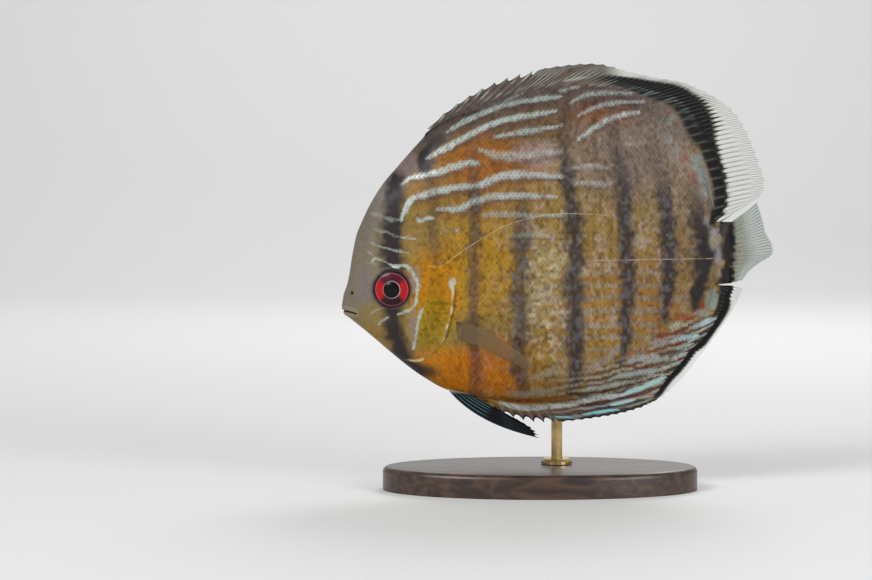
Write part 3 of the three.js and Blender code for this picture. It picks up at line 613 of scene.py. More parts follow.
def markings(x, z, colours):
    """The fish's pigment over its side view in linear light.

    Comes back as the ground with its dark markings and the painted shade under the stripes, the colour of the
    pale ones, and pearl, their share.
    """
    ground = ground_colours(x, z, colours)
    pearl, shade, rust = (np.zeros(np.shape(x)) for _ in range(3))
    ragged = 1 + 0.5 * (noise(x, z, 1.3, 7) - 0.5) + 0.3 * (noise(x, z, 3.7, 8) - 0.5)
    uneven = mix(0.72, 1, smooth(0.25, 0.6, noise(x, z, 2.1, 9)))
    # rust lies between the pale stripes of the back, and a violet painted shade lies under each of them, on
    # its lower side only
    for strength, line in STRIPES:
        near, side = beside(line, x, z, 7.0)
        pearl = np.maximum(pearl, strength * smooth(1.0, 0.3, near * ragged))
        lower = smooth(2.3, 1.0, near) * (side < 0)
        shade = np.maximum(shade, strength * lower)
        rust = np.maximum(rust, strength * smooth(4.2, 2.0, near))
    warm = soft_field(x, z, 45, 42, 32, 18)
    ground = paint(ground, colours.rust, 0.34 * rust * warm)
    # the violet painted shade under the stripes
    ground = paint(ground, tone("4a3a3c"), 0.55 * shade)
    for code, centre_x, centre_z, along, up, strength in HEAD_FIELDS:
        ground = paint(ground, tone(code), strength * soft_field(x, z, centre_x, centre_z, along, up))
    ragged_bar = 0.8 * (noise(x, z, 1.5, 17) - 0.5) + 0.5 * (noise(x, z, 4.5, 19) - 0.5)
    low_end = mix(1, mix(0.5, 1, smooth(0, 10, z - belly_line(x))), smooth(28, 40, x))
    ragged_bar = ragged_bar * mix(0.6, 1.15, smooth(22, 34, x))
    grain = smooth(0.5, 0.8, noise(x, z, 1.1, 51))
    for strength, (top, full), line in BARS:
        near, _ = beside(line, x, z)
        bar = strength * smooth(1.6, 0.35, near + ragged_bar) * mix(0.25, 1, smooth(top, full, z)) * low_end
        ground = paint(ground, colours.bar, 0.97 * bar)
        if strength < 1:
            ground = paint(ground, tone("706b71"), 0.55 * grain * bar)
        pearl = pearl * (1 - 0.5 * bar)
    for code, centre_x, centre_z, along, up, strength in TAIL_FIELDS:
        field = soft_field(x, z, centre_x, centre_z, along, up)
        ground = paint(ground, tone(code), strength * field * mix(0.7, 1, uneven))
    _, upper = over_edge(x, z)
    for band, line, start in ((upper, DORSAL_BAND, 84), (~upper, ANAL_BAND, 104)):
        near, side = beside(line, x, z, 12.0)
        blotch = smooth(3.6, 2.3, near) * smooth(1.0, 1.6, near) * (side < 0) * smooth(108, 114, x)
        clouded = smooth(0.35, 0.65, noise(x, z, 3.1, 37))
        ground = paint(ground, tone("7a8c87"), 0.65 * band * blotch * clouded)
        dark = band * smooth(1.3, 0.8, near) * smooth(start, start + 9, x)
        ground, pearl = paint(ground, tone("121113"), 0.97 * dark), pearl * (1 - dark)
    near, _ = beside(TAIL_BAR, x, z)
    ground = paint(ground, tone("1d1b1e"), 0.96 * smooth(1.45, 0.65, near + 0.9 * ragged_bar))
    pearl = pearl * uneven
    pale = np.broadcast_to(linear(colours.pale), np.shape(x) + (3,)).copy()
    # fine wavy lines run low along the rear, under the broader ones
    region = smooth(12, 6, z - belly_line(x)) * smooth(64, 86, x) * smooth(-3, -9, z)
    along = z - 0.0035 * np.maximum(x - 62, 0) ** 2 + 1.1 * noise(x, z, 5, 41) + 0.5 * noise(x, z, 1.6, 42)
    wave = np.cos(2 * math.pi * along / 2.2)
    ground = paint(ground, tone("44302a"), 0.85 * smooth(0.3, -0.5, wave) * region)
    fine = 0.62 * smooth(0.1, 0.8, wave) * region * mix(0.5, 1, uneven)
    pale = paint(pale, tone("a3aba3"), 0.8 * region)
    pearl = np.maximum(pearl, fine)
    wobble = 0.35 * (noise(x, z, 1.2, 21) - 0.5) + 0.25 * (noise(x, z, 3.3, 22) - 0.5)
    for code, strength, line in LOW_DARK:
        near, _ = beside(line, x, z)
        dark = strength * smooth(1.45, 0.6, near + wobble)
        ground, pearl = paint(ground, tone(code), dark), pearl * (1 - 0.85 * dark)
    for code, strength, line in LOW_PALE:
        near, _ = beside(line, x, z)
        mask = strength * smooth(1.25, 0.5, near + wobble) * mix(0.7, 1, uneven)
        pale = paint(pale, tone(code), 3 * mask)
        pearl = np.maximum(pearl, mask)
    return ground, pale, pearl


def laid(ground, pale, pearl):
    """The ground with its pale markings laid on."""
    return ground + (pale - ground) * np.clip(pearl, 0, 1)[..., None]


def face_markings(x, z, ground, pearl):
    """Adds the lips, nostril and gill edge of the head, with painted shade in the mouth slit and the nostril
    pit and a painted shadow behind the gill edge.
    """
    near, side = beside(GILL_EDGE, x, z)
    # a painted shadow behind the raised edge of the gill cover
    behind = smooth(3.2, 1.0, near) * (side > 0)
    ground = paint(ground, tone("4a3618"), 0.5 * behind)
    mask = 0.75 * smooth(1.4, 0.5, near) * mix(0.1, 1, smooth(0.34, 0.66, noise(x, z, 1.5, 29)))
    ground, pearl = paint(ground, tone("d0c79c"), mask), pearl * (1 - mask)
    spot = np.hypot((x - 37.9) / 1.4, (z - 6.9) / 2.1)
    ground = paint(ground, tone("b9bfb0"), 0.8 * smooth(1.3, 0.5, spot))
    from_eye = np.hypot(x - EYE["x"], z - EYE["z"])
    ground = paint(ground, tone("352d35"), 0.85 * smooth(7.6, 6.2, from_eye))
    pearl = pearl * smooth(6.3, 7.0, from_eye)
    from_lips = np.minimum(beside(UPPER_LIP, x, z)[0], beside(LOWER_LIP, x, z)[0])
    ground = paint(ground, tone("8d8172"), 0.5 * smooth(1.1, 0.4, from_lips))
    # painted shade in the slit of the mouth
    from_mouth, _ = beside(MOUTH, x, z)
    ground = paint(ground, tone("2b2522"), smooth(0.5, 0.15, from_mouth))
    # painted shade in the nostril pit
    nostril = np.hypot(x - NOSTRIL[0], z - NOSTRIL[1])
    ground = paint(ground, tone("2a2420"), smooth(0.75, 0.35, nostril))
    return ground, pearl


def relief(x, z):
    """How far the head's forms stand out of the smooth body, in millimetres."""
    from_eye = np.hypot(x - EYE["x"], z - EYE["z"])
    out = 0.38 * bump(from_eye - 6.9, 0.75) - 2.6 * smooth(6.15, 5.4, from_eye)
    gill = inside(GILL_OUTLINE, x, z)
    rear = smooth(24.5, 37, x)
    out += 0.75 * rear * smooth(-0.22, 0.22, gill) - 0.3 * rear * bump(gill + 0.45, 0.32)
    ridge, _ = beside(PREOPERCLE, x, z)
    out += -0.16 * bump(ridge, 0.45) + 0.12 * bump(ridge - 0.9, 0.6)
    nostril = np.hypot(x - NOSTRIL[0], z - NOSTRIL[1])
    out += 0.14 * bump(nostril - 0.85, 0.35) - 0.75 * bump(nostril, 0.42)
    upper, lower, slit = (beside(line, x, z)[0] for line in (UPPER_LIP, LOWER_LIP, MOUTH))
    out += 0.34 * bump(upper, 0.75) + 0.3 * bump(lower, 0.62) - 0.85 * bump(slit, 0.2)
    return out


# ---- Making meshes ----


def grid_faces(columns, rows, close_rows=False):
    """Triangles over a grid of points, point [c, r] being number c * rows + r."""
    c, r = np.meshgrid(np.arange(columns - 1), np.arange(rows if close_rows else rows - 1), indexing="ij")
    after = (r + 1) % rows
    a, b = c * rows + r, (c + 1) * rows + r
    d, e = c * rows + after, (c + 1) * rows + after
    return np.concatenate([np.stack([a, b, e], -1).reshape(-1, 3), np.stack([a, e, d], -1).reshape(-1, 3)])


def add_piece(name, points, faces, material, fields=None, patches=None, flat=False):
    """Makes a piece from points in the fish's own millimetres and triangles, all turned outwards.

    fields are values or colours for each point, and patches places for each point on the OFBake map.
    """
    corners = points[faces]
    volume = np.einsum("ij,ij->", corners[:, 0], np.cross(corners[:, 1], corners[:, 2]))
    if volume < 0:
        faces = faces[:, ::-1]
    mesh = bpy.data.meshes.new(name)
    mesh.vertices.add(len(points))
    mesh.vertices.foreach_set("co", (points * MM + np.array(ORIGIN)).astype(np.float32).ravel())
    mesh.loops.add(faces.size)
    mesh.loops.foreach_set("vertex_index", faces.astype(np.int32).ravel())
    mesh.polygons.add(len(faces))
    mesh.polygons.foreach_set("loop_start", np.arange(0, faces.size, 3, dtype=np.int32))
    mesh.update(calc_edges=True)
    if flat:
        mesh.shade_flat()
    else:
        mesh.shade_smooth()
    for label, values in (fields or {}).items():
        if values.ndim == 2:
            rgba = np.ones((len(points), 4), np.float32)
            rgba[:, :3] = values
            mesh.attributes.new(label, "FLOAT_COLOR", "POINT").data.foreach_set("color", rgba.ravel())
        else:
            values = values.astype(np.float32)
            mesh.attributes.new(label, "FLOAT", "POINT").data.foreach_set("value", values)
    if patches is not None:
        layer = mesh.uv_layers.new(name="OFBake")
        layer.data.foreach_set("uv", patches[faces.ravel()].astype(np.float32).ravel())
    piece = bpy.data.objects.new(name, mesh)
    bpy.context.scene.collection.objects.link(piece)
    mesh.materials.append(material)
    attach(piece, "root")
    return piece


def closed_sheet(middle, half):
    """The points and triangles of a thin closed sheet about a grid [column, row] of points."""
    columns, rows = half.shape
    along = np.gradient(middle, axis=0)
    out = np.gradient(middle, axis=1)
    normal = np.cross(along, out)
    normal /= np.linalg.norm(normal, axis=-1, keepdims=True) + 1e-9
    faces = grid_faces(columns, rows)
    size = columns * rows
    rim = np.concatenate([
        np.arange(columns) * rows,
        (columns - 1) * rows + np.arange(1, rows),
        np.arange(columns - 2, -1, -1) * rows + rows - 1,
        np.arange(rows - 2, 0, -1),
    ])
    after = np.roll(rim, -1)
    walls = [np.stack([rim, rim + size, after + size], -1), np.stack([rim, after + size, after], -1)]
    points = np.concatenate([middle + normal * half[..., None], middle - normal * half[..., None]])
    triangles = np.concatenate([faces, faces[:, ::-1] + size, *walls])
    return points.reshape(-1, 3), triangles


# ---- The skin ----


def skin_depth():
    """How far the skin lies inside the solids, in millimetres: the depth of the coat of scales."""
    return bpy.context.scene.discus_sizes.coat_depth / MM


def skin_rings():
    """Rings of points round the body: left side up, over the back, right side down, under the belly."""
    stations = np.concatenate([
        np.arange(0.15, 6, 0.18), np.arange(6, 42, 0.31), np.arange(42, 118, 1.4), np.arange(118, 134, 0.6),
        [SKIN_END],
    ])
    v = np.linspace(-1, 1, 190)
    x, share = np.meshgrid(stations, np.sin(0.95 * v) / np.sin(0.95), indexing="ij")
    top, bottom = back_line(x), belly_line(x)
    z = (top + bottom) / 2 + share * (top - bottom) / 2
    half = body_half(x, share)
    rim_turn = np.array([-0.6, 0.0, 0.6])
    rims = []
    for up, edge in ((True, top[:, :1]), (False, bottom[:, :1])):
        wide = edge_half(x[:, :1], np.array(up)) * mix(1, 0.55, smooth(130.5, BODY_END, x[:, :1]))
        across = wide * (rim_turn if up else -rim_turn)
        lift = 0.35 * wide * np.sqrt(1 - rim_turn**2) * (1 if up else -1)
        rims.append((across, edge + lift))
    ring_y = np.concatenate([-half, rims[0][0], half[:, ::-1], rims[1][0]], axis=1)
    ring_z = np.concatenate([z, rims[0][1], z[:, ::-1], rims[1][1]], axis=1)
    ring_x = np.broadcast_to(stations[:, None], ring_y.shape)
    return np.stack([ring_x, ring_y + sway(ring_x), ring_z], -1)


def ring_normals(rings):
    """Outward normals of a grid of rings."""
    along = np.gradient(rings, axis=0)
    around = np.roll(rings, -1, axis=1) - np.roll(rings, 1, axis=1)
    normals = np.cross(along, around)
    return normals / (np.linalg.norm(normals, axis=-1, keepdims=True) + 1e-9)


def line_fields(x, z):
    """Fields from which the skin's shader draws its fine lines.

    They are the heights over both runs of the lateral line, the place along the body, and for the lines of
    the face how far inside the nearest one a point lies and how strongly that one shows.
    """
    upper, lower = (curve_through(line) for line in (UPPER_LATERAL, LOWER_LATERAL))
    broken = mix(1, smooth(0.15, 0.6, noise(x, z, 1.4, 23)), 0.6)
    ragged = 1 + 0.6 * (noise(x, z, 1.2, 24) - 0.5) + 0.6 * (noise(x, z, 2.3, 25) - 0.5)
    face_line, face_show = np.full(np.shape(x), -1.0), np.zeros(np.shape(x))
    for strength, line in FACE_LINES:
        deep = 1.35 - beside(line, x, z)[0] * ragged
        face_show = np.where(deep > face_line, strength * broken, face_show)
        face_line = np.maximum(face_line, deep)
    face_line = face_line - 2 * smooth(7.0, 6.3, np.hypot(x - EYE["x"], z - EYE["z"]))
    return {
        "upper_line": z - upper(x), "lower_line": z - lower(x), "along": x,
        "face_line": face_line, "face_show": face_show,
    }


class DISCUS_OT_skin(bpy.types.Operator):
    """Builds one skin over the head, gill covers, trunk and tail stem"""

    bl_idname = "discus.skin"
    bl_label = "Skin"

    def execute(self, context):
        colours = context.scene.discus_colours
        rings = skin_rings()
        normals = ring_normals(rings)
        x, z = rings[..., 0], rings[..., 2]
        forms = np.zeros(x.shape)
        head = x[:, 0] < 46
        forms[head] = relief(x[head], z[head])
        skin = rings + normals * (forms - skin_depth())[..., None]
        skin[..., 0] = np.maximum(skin[..., 0], 0.02)
        ground, pale, pearl = markings(x, z, colours)
        ground[head], pearl[head] = face_markings(x[head], z[head], ground[head], pearl[head])
        pigment = laid(ground, pale, pearl)
        count, around = x.shape
        front, rear = skin[0], skin[-1]
        caps = [front.mean(0) * (0, 1, 1), rear.mean(0) + (0.1, 0, 0)]
        points = np.concatenate([skin.reshape(-1, 3), caps])
        faces = [grid_faces(count, around, close_rows=True)]
        ring = np.arange(around)
        for start, pole, order in ((0, 0, (0, 1, 2)), ((count - 1) * around, 1, (0, 2, 1))):
            hub = np.full(around, count * around + pole)
            fan = np.stack([hub, start + ring, start + (ring + 1) % around], -1)
            faces.append(fan[:, order])
        ends = [pigment[0, 0], pigment[-1, 0]]
        fields = {
            "pigment": np.concatenate([pigment.reshape(-1, 3), ends]),
            "pearl": np.concatenate([pearl.ravel(), [0, 0]]),
            **line_fields(points[:, 0], points[:, 2]),
        }
        piece = add_piece("skin", points, np.concatenate(faces), skin_material(), fields)
        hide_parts("head", "torso", "tail_stem", "gill_cover_left", "gill_cover_right")
        return {"FINISHED"}


# ---- The coat of scales ----

# One scale: how far back, up and out, as shares of its size. The last two points lie inside its rim.
SCALE_POINTS = np.array([
    (-0.95, 0, 0), (-0.55, -0.6, 0), (0.05, -0.94, 0), (0.45, -0.78, 0), (0.68, -0.42, 0), (0.76, 0, 0),
    (0.68, 0.42, 0), (0.45, 0.78, 0), (0.05, 0.94, 0), (-0.55, 0.6, 0), (-0.1, 0, 0.015), (0.4, 0, 0.02),
])
SCALE_FACES = np.array(
    [(10, 0, 1), (10, 1, 2), (10, 2, 11), (11, 2, 3), (11, 3, 4), (11, 4, 5), (11, 5, 6), (11, 6, 7),
     (11, 7, 8), (10, 11, 8), (10, 8, 9), (10, 9, 0)] + [(0, i + 1, i) for i in range(1, 9)]
)
# Where the body's scales start: a height, and how far back there.
SCALED_FROM = (
    [-30, -18, -10, 0, 8, 13, 15, 20, 28, 45, 64],
    [18, 30, 36.8, 39.2, 39, 34, 26.6, 23, 20, 17.5, 24],
)
# How much of a scale's pale pigment shows at each of its points, and the painted shade over each point:
# darkest at the root, where the scale tucks under the one before it, and lightest at its rear rim.
SCALE_STROKE = np.array([0.4, 0.45, 0.9, 1.15, 1.25, 1.3, 1.25, 1.15, 0.9, 0.45, 0.5, 0.8])
SCALE_SHADE = np.array([0.72, 0.74, 0.84, 0.9, 0.94, 0.96, 0.94, 0.9, 0.84, 0.74, 0.78, 0.92])
BODY_COLUMNS = (14, 132.6)  # where the columns of the body's scales start and end
FACE_COLUMNS = (14, 40)  # the same for the cheek and gill cover
FACE_SHARE = 0.66  # a face scale's size against a body scale's
SCALE_SPREAD = 1.4  # a scale's size against the step between its columns


def scale_places(along, up, start, end):
    """Places for scales in columns along the body, every other column set off by half a scale."""
    places = []
    for i, x in enumerate(np.arange(start, end, along)):
        bottom = belly_line(x) - sheath_height(x, False)
        z = np.linspace(float(bottom), float(back_line(x) + sheath_height(x, True)), 300)
        y = coat_half(np.full_like(z, x), z)
        lengths = np.concatenate([[0], np.cumsum(np.hypot(np.diff(y), np.diff(z)))])
        middle = np.interp(16.0, z, lengths)
        first = math.ceil((0.4 - middle) / up)
        rows = np.arange(first, int((lengths[-1] - 0.4 - middle) / up) + 1) + (0.5 if i % 2 else 0)
        rows = rows[rows * up < lengths[-1] - 0.3 - middle]
        at = rows * up + middle
        height = np.interp(at, lengths, z)
        places.append(np.stack([np.full_like(height, x), height, at / lengths[-1]], -1))
    return np.concatenate(places)


def skin_frame(x, z, side):
    """Points on the skin of one side, with the directions back, up and out there."""
    step = 0.15

    def at(x, z):
        y = side * coat_half(x, z) + sway(x)
        return np.stack([x, y, z], -1)

    back = at(x + step, z) - at(x - step, z)
    rise = at(x, z + step) - at(x, z - step)
    out = side * np.cross(rise, back)
    out /= np.linalg.norm(out, axis=-1, keepdims=True)
    back /= np.linalg.norm(back, axis=-1, keepdims=True)
    rise = np.cross(back, out) * -side
    return at(x, z), back, rise, out


def lie_angle(x, z):
    """How far the scales' lie turns up towards the tail, in radians."""
    return 0.42 * smooth(20, 62, z) * smooth(95, 45, x) - 0.35 * smooth(30, 60, z) * smooth(90, 125, x)


def scale_mesh(places, size, side, colours, on_head):
    """The points, triangles, fields and bake patches of scales.

    Their places are x, z, the share round the body and how far they stand out, from 0 to 1.
    """
    x, z, round_share, stand_out = places.T
    rng = np.random.default_rng(5)
    jitter = rng.normal(0, 1, (4, len(x)))
    root, back, rise, out = skin_frame(x, z, side)
    lifted = relief(x, z) if on_head else 0.0
    root = root + out * (lifted - skin_depth())[..., None] if on_head else root - out * skin_depth()
    turn = lie_angle(x, z) + 0.05 * jitter[0]
    cos, sin = np.cos(turn)[:, None], np.sin(turn)[:, None]
    along, across = back * cos + rise * sin, rise * cos - back * sin
    grown = size * (1 + 0.04 * jitter[1])
    u, v, dome = SCALE_POINTS.T
    lift = (0.052 + 0.042 * u + dome)[None, :, None] * (size / 1.05) * stand_out[:, None, None]
    points = (
        root[:, None]
        + along[:, None] * (u[None, :, None] * grown[:, None, None])
        + across[:, None] * (v[None, :, None] * grown[:, None, None])
        + out[:, None] * lift
    )
    count = len(u)
    offsets = (np.arange(len(x)) * count)[:, None, None]
    faces = (SCALE_FACES[None] + offsets).reshape(-1, 3)
    vertex_x = points[..., 0].reshape(-1)
    vertex_z = points[..., 2].reshape(-1)
    ground, pale, pearl = markings(vertex_x, vertex_z, colours)
    if on_head:
        ground, pearl = face_markings(vertex_x, vertex_z, ground, pearl)
    fade = stand_out[:, None]
    stroke = (mix(1, SCALE_STROKE, fade) * (1 + 0.2 * fade * jitter[3][:, None])).ravel()
    # painted shade on each scale, darkest at its root, with a random tone from scale to scale
    shade = (mix(1, SCALE_SHADE, fade) * (1 + 0.09 * fade * jitter[2][:, None])).reshape(-1, 1)
    shown = np.clip(stroke * pearl, 0, 1)
    colour = np.clip(laid(ground * shade, pale, shown), 0, 1)
    fields = {"pigment": colour, "pearl": shown, **line_fields(vertex_x, vertex_z)}
    home = np.stack([0.02 + 0.96 * x / BODY_END, 0.02 + 0.96 * round_share], -1)
    patches = home[:, None] + 0.0015 * np.stack([u, v], -1)[None]
    return points.reshape(-1, 3), faces, fields, patches.reshape(-1, 2)


def joined(parts):
    """Several sets of points, triangles, fields and patches as one."""
    points, faces, fields, patches = zip(*parts)
    starts = np.cumsum([0] + [len(p) for p in points[:-1]])
    faces = np.concatenate([f + start for f, start in zip(faces, starts)])
    fields = {label: np.concatenate([f[label] for f in fields]) for label in fields[0]}
    return np.concatenate(points), faces, fields, np.concatenate(patches)


class DISCUS_OT_scales(bpy.types.Operator):
    """Lays overlapping scales over both sides, small on the cheek and gill cover"""

    bl_idname = "discus.scales"
    bl_label = "Scales"

    def execute(self, context):
        sizes, colours = context.scene.discus_sizes, context.scene.discus_colours
        along, up = sizes.scale_length / MM / 2, sizes.scale_height / MM
        body = scale_places(along, up, *BODY_COLUMNS)
        x, z = body[:, 0], body[:, 1]
        from_border = x - np.interp(z, *SCALED_FROM)
        stand_out = mix(0.2, 1, smooth(0, 9, from_border)) * mix(1, 0.5, smooth(0, 4, over_edge(x, z)[0]))
        body = np.column_stack([body, stand_out])
        off_edge = np.minimum(back_line(x) - z, z - belly_line(x)) > 1.3
        kept = (from_border > 0) & (inside(GILL_OUTLINE, x, z) < -0.6) & (off_edge | (x < 127))
        body = body[kept]
        face = scale_places(along * FACE_SHARE, up * FACE_SHARE, *FACE_COLUMNS)
        x, z = face[:, 0], face[:, 1]
        gill = inside(GILL_OUTLINE, x, z)
        from_eye = np.hypot(x - EYE["x"], z - EYE["z"])
        cheek = (x > 26.4) & (z < 15) & (z > -9) & (gill < -0.3) & (x < np.interp(z, *SCALED_FROM))
        keep = ((gill > 1.4) | (cheek & (gill < -0.9))) & (beside(PREOPERCLE, x, z)[0] > 0.8)
        low = np.minimum(smooth(0, 4, np.abs(gill)), smooth(9.2, 14, from_eye))
        face = np.column_stack([face, mix(0.2, 0.9, low)])[keep]
        for name, side in (("left", -1), ("right", 1)):
            parts = [
                scale_mesh(body, along * SCALE_SPREAD, side, colours, False),
                scale_mesh(face, along * FACE_SHARE * SCALE_SPREAD, side, colours, True),
            ]
            points, faces, fields, patches = joined(parts)
            piece = add_piece(f"scales_{name}", points, faces, scale_material(), fields, patches, flat=True)
            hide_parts("torso")
        return {"FINISHED"}


# ---- The long fins ----


def body_edge(line, start, end, up):
    """A path along the body's edge, moved out of it a little."""
    x = np.linspace(start, end, 121)
    slope = (line(x + 0.2) - line(x - 0.2)) / 0.4
    away = (FIN_GAP if up else -FIN_GAP) / np.hypot(slope, 1)
    return spline(np.stack([x - slope * away, line(x) + away], -1))


LONG_FIN_FORKS = ((0.12, 0.4), (0.6, 0.85))
LONG_FINS = {
    "dorsal_fin": {
        "base": body_edge(back_line, DORSAL_START, 130.9, True),
        "margin": spline(DORSAL_MARGIN),
        "rays": 40, "spines": 9, "notch": 0.2, "lean": 1.2, "sweep": 0.07,
    },
    "anal_fin": {
        "base": body_edge(belly_line, ANAL_START, 130.9, False),
        "margin": spline(ANAL_MARGIN),
        "rays": 38, "spines": 8, "notch": 0.22, "lean": 0.8, "sweep": 0.06,
    },
}


def ray_ridge(phase, out, sharp=6, forks=((0.45, 0.75),)):
    """How far a ray stands out of the membrane, 0 to 1. It forks in two at each of the shares out."""
    ridge = np.abs(np.cos(math.pi * phase)) ** sharp
    for level, (start, end) in enumerate(forks):
        forked = 0.85 * np.abs(np.cos(2 ** (level + 1) * math.pi * phase + math.pi / 2)) ** sharp
        ridge = mix(ridge, forked, smooth(start, end, out))
    return ridge


def long_fin_grid(base, margin, rays, spines, notch, lean, sweep):
    """A long fin's middle points, with half its thickness, its shares along and out, and its rays."""
    per_ray, rows = 24, 26
    share = np.linspace(0, 1, (rays - 1) * per_ray + 1)
    out = np.concatenate([[-0.16], np.linspace(0, 1, rows)])
    share, out = np.meshgrid(share, out, indexing="ij")
    phase = share * (rays - 1)
    between = np.abs(np.sin(math.pi * phase))
    cut = np.where(phase < spines - 0.5, notch * between**0.8, 0.045 * between)
    reach = np.where(out > 0, out * (1 - cut), out)
    foot = base(share)
    tip = margin(np.clip(share + sweep * np.sin(math.pi * share**0.6), 0, 1))
    root = foot - (tip - foot) / (np.linalg.norm(tip - foot, axis=-1, keepdims=True)) * 1.6
    flat = np.where(reach[..., None] < 0, root, mix(foot, tip, reach[..., None]))
    bow = lean * np.sin(math.pi * np.clip(reach, 0, 1))
    x, z = flat[..., 0] + bow, flat[..., 1] + bow * 0.5
    spiny = phase < spines - 0.5
    forked = ray_ridge(phase, out, 8, LONG_FIN_FORKS)
    ridge = np.where(spiny, np.abs(np.cos(math.pi * phase)) ** 10, forked)
    flutter = 0.12 * np.sin(phase * 0.9) * smooth(0.3, 1, out)
    middle = np.stack([x, sway(x) + flutter, z], -1)
    grown = np.clip(out, 0, 1)
    half = mix(1.0, 0.16, np.minimum(1, grown * 1.6) ** 0.75)
    half = half + 0.16 * ridge * np.minimum(1, grown * 4) * (1 - 0.5 * grown)
    return middle, half, share, grown, ridge


def dorsal_colours(x, z, share, out, ridge, colours):
    """Pigment, pearl and cover of the dorsal fin."""
    ground, pale, pearl = markings(x, z, colours)
    front = smooth(0.85, 0.4, share)
    streaky = smooth(0.35, 0.7, noise(39 * share, 4 * out, 1, 31))
    streak = ridge * smooth(0.1, 0.35, out) * front * mix(0.15, 0.85, streaky)
    ground = paint(ground, tone("9fada6"), streak)
    near, side = beside(DORSAL_BAND, x, z, 12.0)
    clear = (side > 0) * smooth(86, 97, x)
    spiky = near - mix(0.3, 1.3, noise(60 * share, 2 * out, 1, 61)) * ridge
    beyond = clear * smooth(0.9, 1.5, spiky)
    band = smooth(1.5, 0.9, spiky) * smooth(84, 93, x) * clear
    ground = paint(ground, tone("6f7a5a"), beyond)
    ground = paint(ground, tone("121113"), band * (1 - beyond))
    lines = ridge**2 * smooth(1.3, 0.9, near) * smooth(84, 93, x)
    ground = paint(ground, tone("6c7672"), 0.35 * lines)
    ground = paint(ground, tone("2c2a28"), 0.7 * smooth(0.95, 1, out) * front * (1 - beyond))
    shown = pearl * mix(1, 0.75, out) * (1 - band) * (1 - beyond)
    cover = 1 - beyond * mix(0.97, 0.4, ridge**1.5)
    return laid(ground, pale, shown), shown, np.clip(cover, 0.02, 1)


def anal_colours(x, z, share, out, ridge, colours):
    """Pigment, pearl and cover of the anal fin."""
    ground, pale, pearl = markings(x, z, colours)
    ground = paint(ground, tone("8a9694"), 0.22 * ridge * smooth(0.2, 0.6, out))
    rim = smooth(0.8, 0.95, out) * smooth(0.7, 0.5, share)
    ground = paint(ground, tone("1f1e24"), 0.85 * rim)
    near, side = beside(ANAL_BAND, x, z, 12.0)
    clear = (side > 0) * (x > 105)
    spiky = near - 0.5 * ridge
    beyond = clear * smooth(1.0, 1.6, spiky)
    band = smooth(1.6, 0.9, spiky) * smooth(104, 110, x) * clear
    ground = paint(ground, tone("66675e"), beyond)
    ground = paint(ground, tone("121113"), band * (1 - beyond))
    shown = pearl * (1 - band) * (1 - beyond) * (1 - 0.6 * rim) * mix(1, 0.8, smooth(0.1, 0.6, out))
    cover = 1 - beyond * mix(0.98, 0.4, ridge**1.5)
    return laid(ground, pale, shown), shown, np.clip(cover, 0.02, 1)


class DISCUS_OT_long_fins(bpy.types.Operator):
    """Builds the dorsal and the anal fin, with spines, forked rays and clear margins"""

    bl_idname = "discus.long_fins"
    bl_label = "Dorsal and anal fins"

    def execute(self, context):
        colours = context.scene.discus_colours
        for name, colouring in (("dorsal_fin", dorsal_colours), ("anal_fin", anal_colours)):
            middle, half, share, out, ridge = long_fin_grid(**LONG_FINS[name])
            x, z = middle[..., 0], middle[..., 2]
            pigment, pearl, cover = colouring(x, z, share, out, ridge, colours)
            fields = sheet_fields(pigment, pearl, cover)
            piece = add_piece(name, *closed_sheet(middle, half), fin_material(), fields)
            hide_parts(f"{name}_spines", f"{name}_soft", f"{name}_lobe")
        return {"FINISHED"}


def sheet_fields(pigment, pearl, cover):
    """A fin's fields for both faces of its sheet."""
    twice = {"pigment": pigment.reshape(-1, 3), "pearl": pearl.ravel(), "cover": cover.ravel()}
    return {label: np.concatenate([values, values]) for label, values in twice.items()}


# ---- The tail fin ----

CAUDAL_TIPS = spline([
    (143.6, 34), (145.6, 28.4), (147, 23.4), (149.4, 19.6), (149.8, 15.8), (145.6, 12.8), (142, 10),
    (139.4, 6.6),
])


class DISCUS_OT_tail_fin(bpy.types.Operator):
    """Builds the tail fin, a fan that curls away"""

    bl_idname = "discus.tail_fin"
    bl_label = "Tail fin"

    def execute(self, context):
        rays, per_ray, rows = 16, 28, 30
        share = np.linspace(0, 1, (rays - 1) * per_ray + 1)
        out = np.concatenate([[-0.12], np.linspace(0, 1, rows)])
        share, out = np.meshgrid(share, out, indexing="ij")
        phase = share * (rays - 1)
        ridge = ray_ridge(phase, out, 5, ((0.12, 0.35),))
        reach = np.where(out > 0, out * (1 - 0.05 * np.abs(np.sin(2 * math.pi * phase))), out)
        tip = CAUDAL_TIPS(share)
        foot_x, foot_z = BODY_END - 0.6, mix(26.9, 6.7, share)
        curl = mix(6.5, 14.5, smooth(0.1, 1, share))
        x = mix(foot_x, tip[..., 0], reach)
        z = mix(foot_z, tip[..., 1], reach)
        away = curl * np.clip(reach, 0, 1) ** 1.5
        middle = np.stack([x, sway(x) + away, z], -1)
        grown = np.clip(out, 0, 1)
        half = mix(1.3, 0.14, np.minimum(1, grown * 2.2) ** 0.7)
        half = half + 0.17 * ridge * np.minimum(1, grown * 4) * (1 - 0.6 * grown)
        root = smooth(0.16, 0.0, grown + 0.12 * (noise(x, z, 1.1, 51) - 0.5))
        pigment = np.broadcast_to(linear(tone("7d8474")), x.shape + (3,)).copy()
        pigment = paint(pigment, tone("a4aca0"), ridge)
        pigment = paint(pigment, tone("6f8a88"), 0.6 * smooth(0.5, 1, grown))
        pigment = paint(pigment, tone("8a8272"), 0.7 * smooth(0.4, 0.05, grown))
        pigment = paint(pigment, tone("161516"), root)
        cover = mix(mix(0.85, 0.22, smooth(0.05, 0.7, grown)), mix(1, 0.75, grown), ridge)
        fields = sheet_fields(pigment, np.zeros(x.shape), np.maximum(cover, root))
        piece = add_piece("caudal_fin", *closed_sheet(middle, half), fin_material(), fields)
        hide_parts("caudal_fin")
        return {"FINISHED"}


# ---- The paired fins ----

